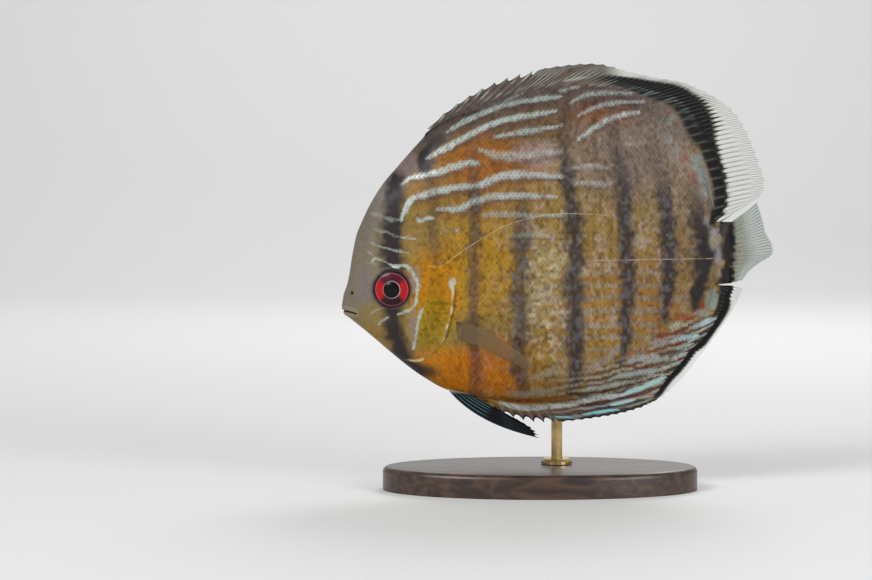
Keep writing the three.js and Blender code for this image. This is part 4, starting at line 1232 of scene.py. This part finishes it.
PAIRED_FINS = {
    "pectoral_fin": {
        "roots": [(39.4, 10.6, -6), (40.2, 10.8, -8.6), (40.6, 10.4, -11.4)],
        "bends": [(52.5, 18.5, -7.6), (49.5, 17.5, -11), (45, 15, -13.6)],
        "tips": [(66, 27, -20.8), (63.6, 25, -22), (57, 20.5, -18.9), (49.6, 15.8, -15.4)],
        "rays": 11, "root_half": 0.8, "notch": 0.04,
    },
    "pelvic_fin": {
        "roots": [(35.8, 1.4, -29.2), (39.2, 1.5, -30.1), (42.8, 1.6, -31)],
        "bends": [(45, 3.6, -41.6), (48.6, 3.4, -38), (51.4, 3, -35.4)],
        "tips": [(67.8, 5.2, -46.3), (65.8, 4.8, -44.2), (62.4, 4.2, -42), (57.6, 3.6, -39.6)],
        "rays": 6, "root_half": 0.7, "notch": 0.03,
    },
}


def paired_fin_grid(roots, bends, tips, rays, root_half, notch, side):
    """The middle points of a paired fin, a fan of curved rays, with half its thickness, shares and rays."""
    share, out = np.meshgrid(np.linspace(0, 1, (rays - 1) * 12 + 1), np.linspace(0, 1, 34), indexing="ij")
    phase = share * (rays - 1)
    ridge = ray_ridge(phase, out, 5)
    reach = (out * (1 - notch * np.abs(np.sin(math.pi * phase))))[..., None]
    root, bend, tip = (spline(path, even=False)(share) for path in (roots, bends, tips))
    middle = root * (1 - reach) ** 2 + bend * 2 * reach * (1 - reach) + tip * reach**2
    middle[..., 1] *= side
    half = mix(root_half, 0.13, np.minimum(1, out * 3) ** 0.7)
    half = half + 0.1 * ridge * (1 - 0.5 * out) * np.minimum(1, out * 5)
    return middle, half, share, out, ridge


def pectoral_colours(share, out, ridge):
    """Pigment and cover of a pectoral fin."""
    pigment = np.broadcast_to(linear(tone("6f5a40")), share.shape + (3,)).copy()
    pigment = paint(pigment, tone("85725a"), ridge)
    pigment = paint(pigment, tone("3a2c1c"), 0.8 * smooth(0.09, 0.0, out) * smooth(0.5, 0.1, share))
    cover = mix(mix(0.56, 0.34, out), mix(0.66, 0.42, out), ridge)
    return pigment, np.maximum(cover, smooth(0.12, 0.02, out))


def pelvic_colours(share, out, ridge):
    """Pigment and cover of a pelvic fin."""
    pigment = np.broadcast_to(linear(tone("0d0f14")), share.shape + (3,)).copy()
    thin = smooth(0.75, 1.0, ridge) * smooth(1.0, 0.6, out)
    pigment = paint(pigment, tone("6f9ba4"), 0.7 * thin * smooth(0.02, 0.2, out))
    pigment = paint(pigment, tone("8a7f95"), 0.75 * smooth(0.05, 0.0, share) * smooth(1, 0.4, out))
    pigment = paint(pigment, tone("cfc3a8"), 0.8 * smooth(0.1, 0.0, out))
    return pigment, np.ones(share.shape)


class DISCUS_OT_paired_fins(bpy.types.Operator):
    """Builds the pectoral and pelvic fins of both sides"""

    bl_idname = "discus.paired_fins"
    bl_label = "Pectoral and pelvic fins"

    def execute(self, context):
        kinds = (("pectoral_fin", pectoral_colours, "clear_fin"), ("pelvic_fin", pelvic_colours, "dark_fin"))
        for name, colouring, slot in kinds:
            for flank, side in (("left", -1), ("right", 1)):
                middle, half, share, out, ridge = paired_fin_grid(side=side, **PAIRED_FINS[name])
                pigment, cover = colouring(share, out, ridge)
                fields = sheet_fields(pigment, np.zeros(share.shape), cover)
                piece = add_piece(f"{name}_{flank}", *closed_sheet(middle, half), fin_material(), fields)
                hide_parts(f"{name}_{flank}")
        return {"FINISHED"}


# ---- The eyes ----

# An eye's section: distance from its middle and height over the skin, in millimetres.
EYE_SECTION = [
    (0, 1.5), (0.7, 1.47), (1.4, 1.37), (2.1, 1.18), (2.6, 0.98), (2.75, 0.9), (2.9, 0.86), (3.1, 0.84),
    (3.6, 0.78),
    (4.2, 0.66), (4.8, 0.5), (5.2, 0.37), (5.5, 0.25), (5.7, 0.15), (5.85, 0.04), (5.98, 0.06), (6.1, -0.04),
    (6.2, -0.5), (6.0, -1.6), (4.5, -2.6), (2, -3), (0, -3.1),
]


class DISCUS_OT_eyes(bpy.types.Operator):
    """Builds both eyes, each a lens over a ringed iris in its rim"""

    bl_idname = "discus.eyes"
    bl_label = "Eyes"

    def execute(self, context):
        section = np.array(EYE_SECTION)
        turns = 72
        for name, side in (("left", -1), ("right", 1)):
            x, z = np.array([EYE["x"]]), np.array([EYE["z"]])
            centre, _, _, out = (part[0] for part in skin_frame(x, z, side))
            out = out * 0.6 + np.array([0, side, 0]) * 0.4
            out /= np.linalg.norm(out)
            across = np.array([0, 0, 1.0])
            across = across - out * across.dot(out)
            across /= np.linalg.norm(across)
            along = np.cross(across, out) * side
            along = along if along[0] > 0 else -along
            angle = np.linspace(0, 2 * math.pi, turns, endpoint=False)
            radius, height = section[1:-1].T
            ring = along * np.cos(angle)[:, None] + across * np.sin(angle)[:, None]
            rings = centre + ring[None] * radius[:, None, None] + out * (height - 0.15)[:, None, None]
            poles = [centre + out * (section[0][1] - 0.15), centre + out * (section[-1][1] - 0.15)]
            points = np.concatenate([rings.reshape(-1, 3), poles])
            count = len(radius)
            step = np.arange(turns)
            front = np.stack([np.full(turns, count * turns), step, (step + 1) % turns], -1)
            last = (count - 1) * turns
            rear = np.stack([np.full(turns, count * turns + 1), last + (step + 1) % turns, last + step], -1)
            faces = np.concatenate([grid_faces(count, turns, close_rows=True), front, rear])
            flat = np.stack([np.cos(angle), np.sin(angle)], -1)[None] * radius[:, None, None]
            flat = np.concatenate([flat.reshape(-1, 2), [(0, 0), (0, 0)]])
            fields = {"eye_x": flat[:, 0], "eye_z": flat[:, 1]}
            piece = add_piece(f"eye_{name}", points, faces, eye_material(), fields)
            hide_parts(f"eye_{name}")
        return {"FINISHED"}


# ---- Materials ----


def new_material(name):
    """An empty material, with its node tree and its shader."""
    material = bpy.data.materials.new(name)
    material.use_nodes = True
    tree = material.node_tree
    tree.nodes.clear()
    shader = tree.nodes.new("ShaderNodeBsdfPrincipled")
    output = tree.nodes.new("ShaderNodeOutputMaterial")
    tree.links.new(shader.outputs["BSDF"], output.inputs["Surface"])
    return material, tree, shader


def node(tree, kind, inputs=None, **settings):
    """A node with its settings and inputs. An input that is an output socket is linked."""
    made = tree.nodes.new(kind)
    for key, value in settings.items():
        setattr(made, key, value)
    for key, value in (inputs or {}).items():
        if isinstance(value, bpy.types.NodeSocket):
            tree.links.new(value, made.inputs[key])
        else:
            made.inputs[key].default_value = value
    return made


def math_node(tree, operation, *values, clamp=False):
    """A maths node's output."""
    made = node(tree, "ShaderNodeMath", dict(enumerate(values)), operation=operation, use_clamp=clamp)
    return made.outputs[0]


def blend_node(tree, kind, factor, first, second):
    """A colour mix node's output."""
    inputs = {0: factor, 6: first, 7: second}
    return node(tree, "ShaderNodeMix", inputs, data_type="RGBA", blend_type=kind).outputs[2]


def ramp(tree, value, low, high, start=0.0, end=1.0):
    """A smooth step node's output."""
    inputs = {"Value": value, "From Min": low, "From Max": high, "To Min": start, "To Max": end}
    return node(tree, "ShaderNodeMapRange", inputs, interpolation_type="SMOOTHSTEP").outputs[0]


def attribute(tree, name, output="Fac"):
    """A named field of the mesh."""
    return node(tree, "ShaderNodeAttribute", attribute_name=name).outputs[output]


def new_group(name, inputs, outputs):
    """A node group with named sockets, (name, kind, default)."""
    group = bpy.data.node_groups.new(name, "ShaderNodeTree")
    for label, kind, default in inputs:
        socket = group.interface.new_socket(label, in_out="INPUT", socket_type=kind)
        if default is not None:
            socket.default_value = default
    for label, kind in outputs:
        group.interface.new_socket(label, in_out="OUTPUT", socket_type=kind)
    return group, group.nodes.new("NodeGroupInput"), group.nodes.new("NodeGroupOutput")


def place_group(tree, group, inputs):
    """A group node in a material's tree."""
    return node(tree, "ShaderNodeGroup", inputs, node_tree=group)


def stipple_group():
    """Fine pigment cells over a colour, and their relief."""
    if "Pigment stipple" in bpy.data.node_groups:
        return bpy.data.node_groups["Pigment stipple"]
    group, inputs, outputs = new_group(
        "Pigment stipple",
        [("Pigment", "NodeSocketColor", (0.5, 0.4, 0.2, 1)), ("Cell Scale", "NodeSocketFloat", 2600.0),
         ("Dark Cells", "NodeSocketFloat", 0.3), ("Light Cells", "NodeSocketFloat", 0.2)],
        [("Color", "NodeSocketColor"), ("Height", "NodeSocketFloat")],
    )
    place = node(group, "ShaderNodeTexCoord").outputs["Object"]
    cells = node(group, "ShaderNodeTexVoronoi", {"Vector": place, "Scale": inputs.outputs["Cell Scale"]})
    cloud = node(group, "ShaderNodeTexNoise", {"Vector": place, "Scale": 900.0, "Detail": 3.0})
    dark = ramp(group, cells.outputs["Distance"], 0.55, 0.15)
    dark = math_node(group, "MULTIPLY", dark, ramp(group, cloud.outputs["Fac"], 0.4, 0.62))
    dark = math_node(group, "MULTIPLY", dark, inputs.outputs["Dark Cells"], clamp=True)
    darker = blend_node(group, "MULTIPLY", 1.0, inputs.outputs["Pigment"], (0.32, 0.27, 0.25, 1))
    colour = blend_node(group, "MIX", dark, inputs.outputs["Pigment"], darker)
    clearing = ramp(group, cloud.outputs["Fac"], 0.6, 0.38)
    light = math_node(group, "MULTIPLY", clearing, inputs.outputs["Light Cells"])
    lighter = blend_node(group, "SCREEN", 0.35, inputs.outputs["Pigment"], inputs.outputs["Pigment"])
    colour = blend_node(group, "MIX", light, colour, lighter)
    group.links.new(colour, outputs.inputs["Color"])
    group.links.new(cloud.outputs["Fac"], outputs.inputs["Height"])
    return group


def lateral_line(tree):
    """The mask of the fine lateral line, in its two runs."""
    along = attribute(tree, "along")
    masks = []
    for name, start, end in (("upper_line", 34.0, 91.0), ("lower_line", 85.0, 128.0)):
        height = math_node(tree, "ABSOLUTE", attribute(tree, name))
        begun = ramp(tree, along, start - 3, start + 3)
        lasting = ramp(tree, along, end + 3, end - 3)
        ends = math_node(tree, "MULTIPLY", begun, lasting)
        masks.append(math_node(tree, "MULTIPLY", ramp(tree, height, 0.24, 0.08), ends))
    place = node(tree, "ShaderNodeTexCoord").outputs["Object"]
    breaks = node(tree, "ShaderNodeTexNoise", {"Vector": place, "Scale": 420.0, "Detail": 2.0}).outputs["Fac"]
    shown = ramp(tree, breaks, 0.36, 0.6, 0.16, 0.5)
    return math_node(tree, "MULTIPLY", math_node(tree, "MAXIMUM", *masks), shown)


def face_lines(tree):
    """The mask of the fine pale lines of the face, which break up into pearly cells."""
    place = node(tree, "ShaderNodeTexCoord").outputs["Object"]
    cells = node(tree, "ShaderNodeTexNoise", {"Vector": place, "Scale": 1500.0, "Detail": 2.0}).outputs["Fac"]
    frayed = math_node(tree, "MULTIPLY_ADD", cells, 1.6, -0.8)
    deep = math_node(tree, "ADD", attribute(tree, "face_line"), frayed)
    line = math_node(tree, "MULTIPLY", ramp(tree, deep, -0.05, 1.0), attribute(tree, "face_show"))
    return math_node(tree, "MULTIPLY", line, ramp(tree, cells, 0.35, 0.62, 0.7, 1.0))


def skin_finish(name, dark_cells, light_cells, roughness, bump_strength):
    """A wet, stippled skin that carries the markings, the fine lines of the face and the lateral line."""
    if name in bpy.data.materials:
        return bpy.data.materials[name]
    material, tree, shader = new_material(name)
    face = face_lines(tree)
    pearl = math_node(tree, "MAXIMUM", attribute(tree, "pearl"), face)
    stipple = place_group(tree, stipple_group(), {
        "Pigment": attribute(tree, "pigment", "Color"), "Dark Cells": dark_cells, "Light Cells": light_cells,
    })
    pale = (*linear(bpy.context.scene.discus_colours.pale), 1)
    colour = blend_node(tree, "MIX", face, stipple.outputs["Color"], pale)
    colour = blend_node(tree, "MIX", lateral_line(tree), colour, (0.58, 0.47, 0.34, 1))
    tree.links.new(colour, shader.inputs["Base Color"])
    rough = math_node(tree, "MULTIPLY_ADD", stipple.outputs["Height"], 0.2, roughness - 0.1)
    rough = math_node(tree, "SUBTRACT", rough, math_node(tree, "MULTIPLY", pearl, 0.12))
    tree.links.new(rough, shader.inputs["Roughness"])
    tree.links.new(math_node(tree, "MULTIPLY", pearl, 0.25), shader.inputs["Metallic"])
    inputs = {"Height": stipple.outputs["Height"], "Strength": bump_strength, "Distance": 0.00012}
    tree.links.new(node(tree, "ShaderNodeBump", inputs).outputs["Normal"], shader.inputs["Normal"])
    shader.inputs["Specular IOR Level"].default_value = 0.11
    shader.inputs["Coat Weight"].default_value = 0.07
    shader.inputs["Coat Roughness"].default_value = 0.14
    return material


def skin_material():
    """The bare skin of the head and of the gaps between scales."""
    return skin_finish("skin wet", 0.2, 0.3, 0.44, 0.5)


def scale_material():
    """The scales."""
    return skin_finish("scale wet", 0.4, 0.35, 0.4, 0.35)


def fin_material():
    """A fin's membrane and rays, clear where its cover says so."""
    if "fin membrane" in bpy.data.materials:
        return bpy.data.materials["fin membrane"]
    material, tree, shader = new_material("fin membrane")
    stipple = place_group(tree, stipple_group(), {
        "Pigment": attribute(tree, "pigment", "Color"), "Dark Cells": 0.4, "Light Cells": 0.25,
    })
    tree.links.new(stipple.outputs["Color"], shader.inputs["Base Color"])
    tree.links.new(attribute(tree, "cover"), shader.inputs["Alpha"])
    rough = math_node(tree, "MULTIPLY_ADD", stipple.outputs["Height"], 0.2, 0.46)
    tree.links.new(rough, shader.inputs["Roughness"])
    shader.inputs["Specular IOR Level"].default_value = 0.1
    inputs = {"Height": stipple.outputs["Height"], "Strength": 0.3, "Distance": 0.0001}
    tree.links.new(node(tree, "ShaderNodeBump", inputs).outputs["Normal"], shader.inputs["Normal"])
    return material


def eye_material():
    """A black lens in a thin ring of painted highlight, a red iris darkened above and below with a ring of
    painted highlight near its edge, and a dark rim.
    """
    if "lens and iris" in bpy.data.materials:
        return bpy.data.materials["lens and iris"]
    material, tree, shader = new_material("lens and iris")
    across, up = attribute(tree, "eye_x"), attribute(tree, "eye_z")
    across_squared = math_node(tree, "MULTIPLY", across, across)
    up_squared = math_node(tree, "MULTIPLY", up, up)
    squares = math_node(tree, "ADD", across_squared, up_squared)
    radius = math_node(tree, "SQRT", squares)
    place = node(tree, "ShaderNodeTexCoord").outputs["Object"]
    fibres = node(tree, "ShaderNodeTexNoise", {"Vector": place, "Scale": 1500.0, "Detail": 4.0})
    fibres = fibres.outputs["Fac"]
    waver = math_node(tree, "MULTIPLY", math_node(tree, "SUBTRACT", fibres, 0.5), 1.4)
    red = blend_node(tree, "MIX", fibres, (0.2, 0.003, 0.007, 1), (0.6, 0.012, 0.016, 1))
    climb = math_node(tree, "DIVIDE", math_node(tree, "ADD", up, waver), radius)
    above = ramp(tree, climb, 0.4, 0.78, 0.0, 0.9)
    below = ramp(tree, climb, -0.5, -0.8, 0.0, 0.96)
    iris = blend_node(tree, "MIX", above, red, (0.034, 0.007, 0.02, 1))
    iris = blend_node(tree, "MIX", below, iris, (0.012, 0.004, 0.008, 1))
    # a pinkish painted highlight in a thin ring near the iris's edge
    from_ring = math_node(tree, "ABSOLUTE", math_node(tree, "SUBTRACT", radius, 5.5))
    iris_edge_highlight = math_node(tree, "MULTIPLY", ramp(tree, from_ring, 0.26, 0.06), 0.45)
    iris = blend_node(tree, "MIX", iris_edge_highlight, iris, (0.42, 0.12, 0.16, 1))
    rim = ramp(tree, radius, 5.68, 5.85)
    colour = blend_node(tree, "MIX", rim, iris, (0.016, 0.011, 0.014, 1))
    # a painted highlight in a thin ring round the pupil, brighter on its side towards the tail
    from_pupil = math_node(tree, "ABSOLUTE", math_node(tree, "SUBTRACT", radius, 2.92))
    ring = ramp(tree, from_pupil, 0.12, 0.04)
    pupil = ramp(tree, radius, 2.9, 2.8)
    colour = blend_node(tree, "MIX", pupil, colour, (0.002, 0.002, 0.003, 1))
    side = ramp(tree, across, -2.5, 2.0, 0.3, 0.75)
    colour = blend_node(tree, "MIX", math_node(tree, "MULTIPLY", ring, side), colour, (0.65, 0.6, 0.6, 1))
    tree.links.new(colour, shader.inputs["Base Color"])
    shader.inputs["Roughness"].default_value = 0.35
    shader.inputs["Specular IOR Level"].default_value = 0.1
    shader.inputs["Coat Weight"].default_value = 0.22
    shader.inputs["Coat Roughness"].default_value = 0.06
    return material


def wood_material():
    """Dark oiled wood with its grain along the base."""
    material, tree, shader = new_material("stand wood")
    place = node(tree, "ShaderNodeTexCoord").outputs["Object"]
    stretched = node(tree, "ShaderNodeMapping", {"Vector": place, "Scale": (14.0, 90.0, 60.0)}).outputs[0]
    grain = node(
        tree, "ShaderNodeTexNoise", {"Vector": stretched, "Scale": 4.0, "Detail": 8.0, "Distortion": 1.2}
    )
    fine = node(tree, "ShaderNodeMapping", {"Vector": place, "Scale": (60.0, 1400.0, 900.0)}).outputs[0]
    pores = node(tree, "ShaderNodeTexNoise", {"Vector": fine, "Scale": 1.0, "Detail": 3.0}).outputs["Fac"]
    tone_share = ramp(tree, grain.outputs["Fac"], 0.36, 0.66)
    colour = blend_node(tree, "MIX", tone_share, (0.022, 0.011, 0.007, 1), (0.075, 0.035, 0.018, 1))
    colour = blend_node(tree, "MIX", ramp(tree, pores, 0.62, 0.72, 0, 0.5), colour, (0.008, 0.005, 0.003, 1))
    tree.links.new(colour, shader.inputs["Base Color"])
    tree.links.new(ramp(tree, grain.outputs["Fac"], 0.3, 0.7, 0.34, 0.46), shader.inputs["Roughness"])
    inputs = {"Height": pores, "Strength": 0.25, "Distance": 0.0002}
    tree.links.new(node(tree, "ShaderNodeBump", inputs).outputs["Normal"], shader.inputs["Normal"])
    shader.inputs["Coat Weight"].default_value = 0.3
    shader.inputs["Coat Roughness"].default_value = 0.25
    return material


def metal_material():
    """Brushed brass, a little dulled."""
    material, tree, shader = new_material("stand brass")
    place = node(tree, "ShaderNodeTexCoord").outputs["Object"]
    brushed = node(tree, "ShaderNodeMapping", {"Vector": place, "Scale": (300.0, 300.0, 6000.0)}).outputs[0]
    lines = node(tree, "ShaderNodeTexNoise", {"Vector": brushed, "Scale": 1.0, "Detail": 3.0}).outputs["Fac"]
    dull = node(tree, "ShaderNodeTexNoise", {"Vector": place, "Scale": 160.0, "Detail": 4.0}).outputs["Fac"]
    colour = blend_node(tree, "MIX", ramp(tree, dull, 0.35, 0.7), (0.62, 0.45, 0.2, 1), (0.38, 0.27, 0.13, 1))
    tree.links.new(colour, shader.inputs["Base Color"])
    tree.links.new(ramp(tree, lines, 0.3, 0.7, 0.24, 0.4), shader.inputs["Roughness"])
    shader.inputs["Metallic"].default_value = 1.0
    return material


# ---- The stand ----


def deselect_all():
    """Leaves nothing selected."""
    if bpy.context.object and bpy.context.object.mode != "OBJECT":
        bpy.ops.object.mode_set(mode="OBJECT")
    bpy.ops.object.select_all(action="DESELECT")


class DISCUS_OT_stand(bpy.types.Operator):
    """Builds the oval base, and gives the kept rod and its collar their brass"""

    bl_idname = "discus.stand"
    bl_label = "Stand"

    def finish_piece(self, piece, node_name, material, slot):
        piece.name = node_name
        bpy.ops.object.transform_apply(location=True, rotation=True, scale=True)
        piece.data.materials.clear()
        piece.data.materials.append(material)
        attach(piece, "root")
        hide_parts(node_name)

    def bevelled_drum(self, low, high, bevel, segments, sides):
        """An upright oval drum that fills a box, with its upper edge rounded."""
        deselect_all()
        centre, size = (low + high) / 2, high - low
        bpy.ops.mesh.primitive_cylinder_add(vertices=sides, radius=0.5, depth=1, location=centre)
        piece = bpy.context.object
        piece.scale = size
        bpy.ops.object.transform_apply(location=False, rotation=False, scale=True)
        bpy.ops.object.mode_set(mode="EDIT")
        mesh = bmesh.from_edit_mesh(piece.data)
        top = max(vertex.co.z for vertex in mesh.verts)
        for edge in mesh.edges:
            edge.select_set(all(vertex.co.z > top - 1e-6 for vertex in edge.verts))
        bmesh.update_edit_mesh(piece.data)
        bpy.ops.mesh.bevel(offset=bevel, segments=segments, affect="EDGES")
        bpy.ops.object.mode_set(mode="OBJECT")
        bpy.ops.object.shade_smooth_by_angle(angle=math.radians(40))
        return piece

    def execute(self, context):
        wood, brass = wood_material(), metal_material()
        low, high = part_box("stand_base")
        base = self.bevelled_drum(low, high, 0.0018, 6, 160)
        self.finish_piece(base, "stand_base", wood, "stand_wood")
        for name in ("stand_rod", "stand_collar"):
            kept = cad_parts[name]
            for slot in kept.material_slots:
                slot.material = brass
        return {"FINISHED"}


# ---- The stage ----


class DISCUS_OT_stage(bpy.types.Operator):
    """Sets the floor, the soft lights and the camera"""

    bl_idname = "discus.stage"
    bl_label = "Stage"

    def execute(self, context):
        stage = context.scene.discus_stage
        scene = context.scene
        self.floor()
        self.light("key light", (-0.75, -0.75, 0.8), 0.5, stage.key_power)
        self.light("fill light", (0.85, -0.8, 0.45), 0.6, stage.fill_power)
        self.light("back light", (0.25, 0.75, 0.8), 0.5, stage.back_power)
        self.light("cove light", (0, 0.9, 1.2), 0.9, stage.cove_power, Vector((0, 2.0, 0.55)))
        world = bpy.data.worlds.new("studio")
        world.use_nodes = True
        background = world.node_tree.nodes["Background"]
        background.inputs["Color"].default_value = (0.86, 0.88, 0.9, 1)
        background.inputs["Strength"].default_value = stage.world_strength
        scene.world = world
        scene.view_settings.view_transform = "Standard"
        self.camera(stage)
        return {"FINISHED"}

    def floor(self):
        material, _, shader = new_material("stage floor")
        shader.inputs["Base Color"].default_value = (0.72, 0.72, 0.71, 1)
        shader.inputs["Roughness"].default_value = 0.7
        profile = [(-3.0, 0.0), (1.2, 0.0)]
        bend = np.linspace(0.1, math.pi / 2, 14)
        profile += [(1.2 + 0.9 * math.sin(a), 0.9 * (1 - math.cos(a))) for a in bend]
        profile += [(2.1, 2.6)]
        mesh = bpy.data.meshes.new("stage_floor")
        points = [(x, y, z) for x in (-3.0, 3.0) for y, z in profile]
        count = len(profile)
        faces = [(i, i + count, i + count + 1, i + 1) for i in range(count - 1)]
        mesh.from_pydata(points, [], faces)
        mesh.shade_smooth()
        mesh.materials.append(material)
        floor = bpy.data.objects.new("stage_floor", mesh)
        bpy.context.scene.collection.objects.link(floor)

    def light(self, name, place, size, power, target=Vector((0, 0, 0.075))):
        lamp = bpy.data.lights.new(name, "AREA")
        lamp.shape = "SQUARE"
        lamp.size = size
        lamp.energy = power
        made = bpy.data.objects.new(name, lamp)
        made.location = place
        aim = target - made.location
        made.rotation_euler = aim.to_track_quat("-Z", "Y").to_euler()
        bpy.context.scene.collection.objects.link(made)

    def camera(self, stage):
        lens = bpy.data.cameras.new("camera")
        lens.sensor_width = 36.0
        lens.lens = 36.0 * stage.distance / stage.frame_width
        made = bpy.data.objects.new("camera", lens)
        aim = Vector((stage.aim_x, 0, stage.aim_z))
        rise = stage.elevation
        away = Vector((0, -math.cos(rise), math.sin(rise))) * stage.distance
        made.location = aim + away
        made.rotation_euler = (-away).to_track_quat("-Z", "Y").to_euler()
        bpy.context.scene.collection.objects.link(made)
        bpy.context.scene.camera = made


# ---- Settings and panel ----


def size_property(label, description, default, least=0.0):
    """A length in metres that a user may change."""
    return FloatProperty(
        name=label, description=description, default=default, min=least, unit="LENGTH", precision=5
    )


def colour_property(label, description, code):
    """A colour that a user may change."""
    return FloatVectorProperty(
        name=label, description=description, default=tone(code), size=3, min=0, max=1, subtype="COLOR_GAMMA"
    )


class DiscusSizes(bpy.types.PropertyGroup):
    """Sizes of the coat"""

    coat_depth: size_property("Coat depth", "How far the skin lies inside the solids", 0.0002)
    scale_length: size_property("Scale spacing", "From one scale to the next in its row", 0.0015, 0.0008)
    scale_height: size_property("Row spacing", "From one scale to the next in its column", 0.002, 0.001)


class DiscusColours(bpy.types.PropertyGroup):
    """Colours of the markings"""

    flank: colour_property("Flank", "Ground colour of the flank", "8c723c")
    rust: colour_property("Rust", "Between the pale stripes of the back", "8f4f0e")
    bar: colour_property("Bars", "The dark upright bars", "292428")
    pale: colour_property("Stripes", "The pale stripes and the lines of the face", "b2beb8")


class DiscusStage(bpy.types.PropertyGroup):
    """Camera and lights"""

    distance: size_property("Distance", "From the camera to the fish", 0.9, 0.2)
    frame_width: size_property("Frame width", "What the camera takes in at the fish", 0.29866, 0.05)
    aim_x: size_property("Aim X", "The middle of the frame along the fish", -0.0429, -1.0)
    aim_z: size_property("Aim Z", "The middle of the frame above the floor", 0.0685)
    elevation: FloatProperty(
        name="Elevation",
        description="How far the camera looks down",
        default=math.radians(3),
        subtype="ANGLE",
    )
    key_power: FloatProperty(name="Key", description="Power of the key light", default=9.0, unit="POWER")
    fill_power: FloatProperty(name="Fill", description="Power of the fill light", default=6.5, unit="POWER")
    back_power: FloatProperty(name="Back", description="Power of the back light", default=4.0, unit="POWER")
    cove_power: FloatProperty(
        name="Cove", description="Power of the light on the cove", default=9.0, unit="POWER"
    )
    world_strength: FloatProperty(name="World", description="Strength of the light all round", default=0.46)


OPERATORS = (
    DISCUS_OT_stage, DISCUS_OT_skin, DISCUS_OT_scales, DISCUS_OT_long_fins, DISCUS_OT_tail_fin,
    DISCUS_OT_paired_fins, DISCUS_OT_eyes, DISCUS_OT_stand,
)
SETTINGS = {"discus_sizes": DiscusSizes, "discus_colours": DiscusColours, "discus_stage": DiscusStage}


class DISCUS_PT_panel(bpy.types.Panel):
    """Lists the settings and the steps"""

    bl_idname = "DISCUS_PT_panel"
    bl_label = "Discus"
    bl_space_type = "VIEW_3D"
    bl_region_type = "UI"
    bl_category = "Discus"

    def draw(self, context):
        for name in SETTINGS:
            group = getattr(context.scene, name)
            box = self.layout.box()
            for key in group.__annotations__:
                box.prop(group, key)
        for operator in OPERATORS:
            self.layout.operator(operator.bl_idname)


def register():
    """Adds the classes and the scene's settings."""
    for made in (*SETTINGS.values(), *OPERATORS, DISCUS_PT_panel):
        bpy.utils.register_class(made)
    for name, made in SETTINGS.items():
        setattr(bpy.types.Scene, name, PointerProperty(type=made))


def unregister():
    """Removes them again."""
    for name in SETTINGS:
        delattr(bpy.types.Scene, name)
    for made in (DISCUS_PT_panel, *reversed(OPERATORS), *reversed(SETTINGS.values())):
        bpy.utils.unregister_class(made)


def main():
    """Builds the whole model."""
    register()
    deselect_all()
    for operator in OPERATORS:
        group, name = operator.bl_idname.split(".")
        getattr(getattr(bpy.ops, group), name)()


if __name__ == "__main__":
    main()
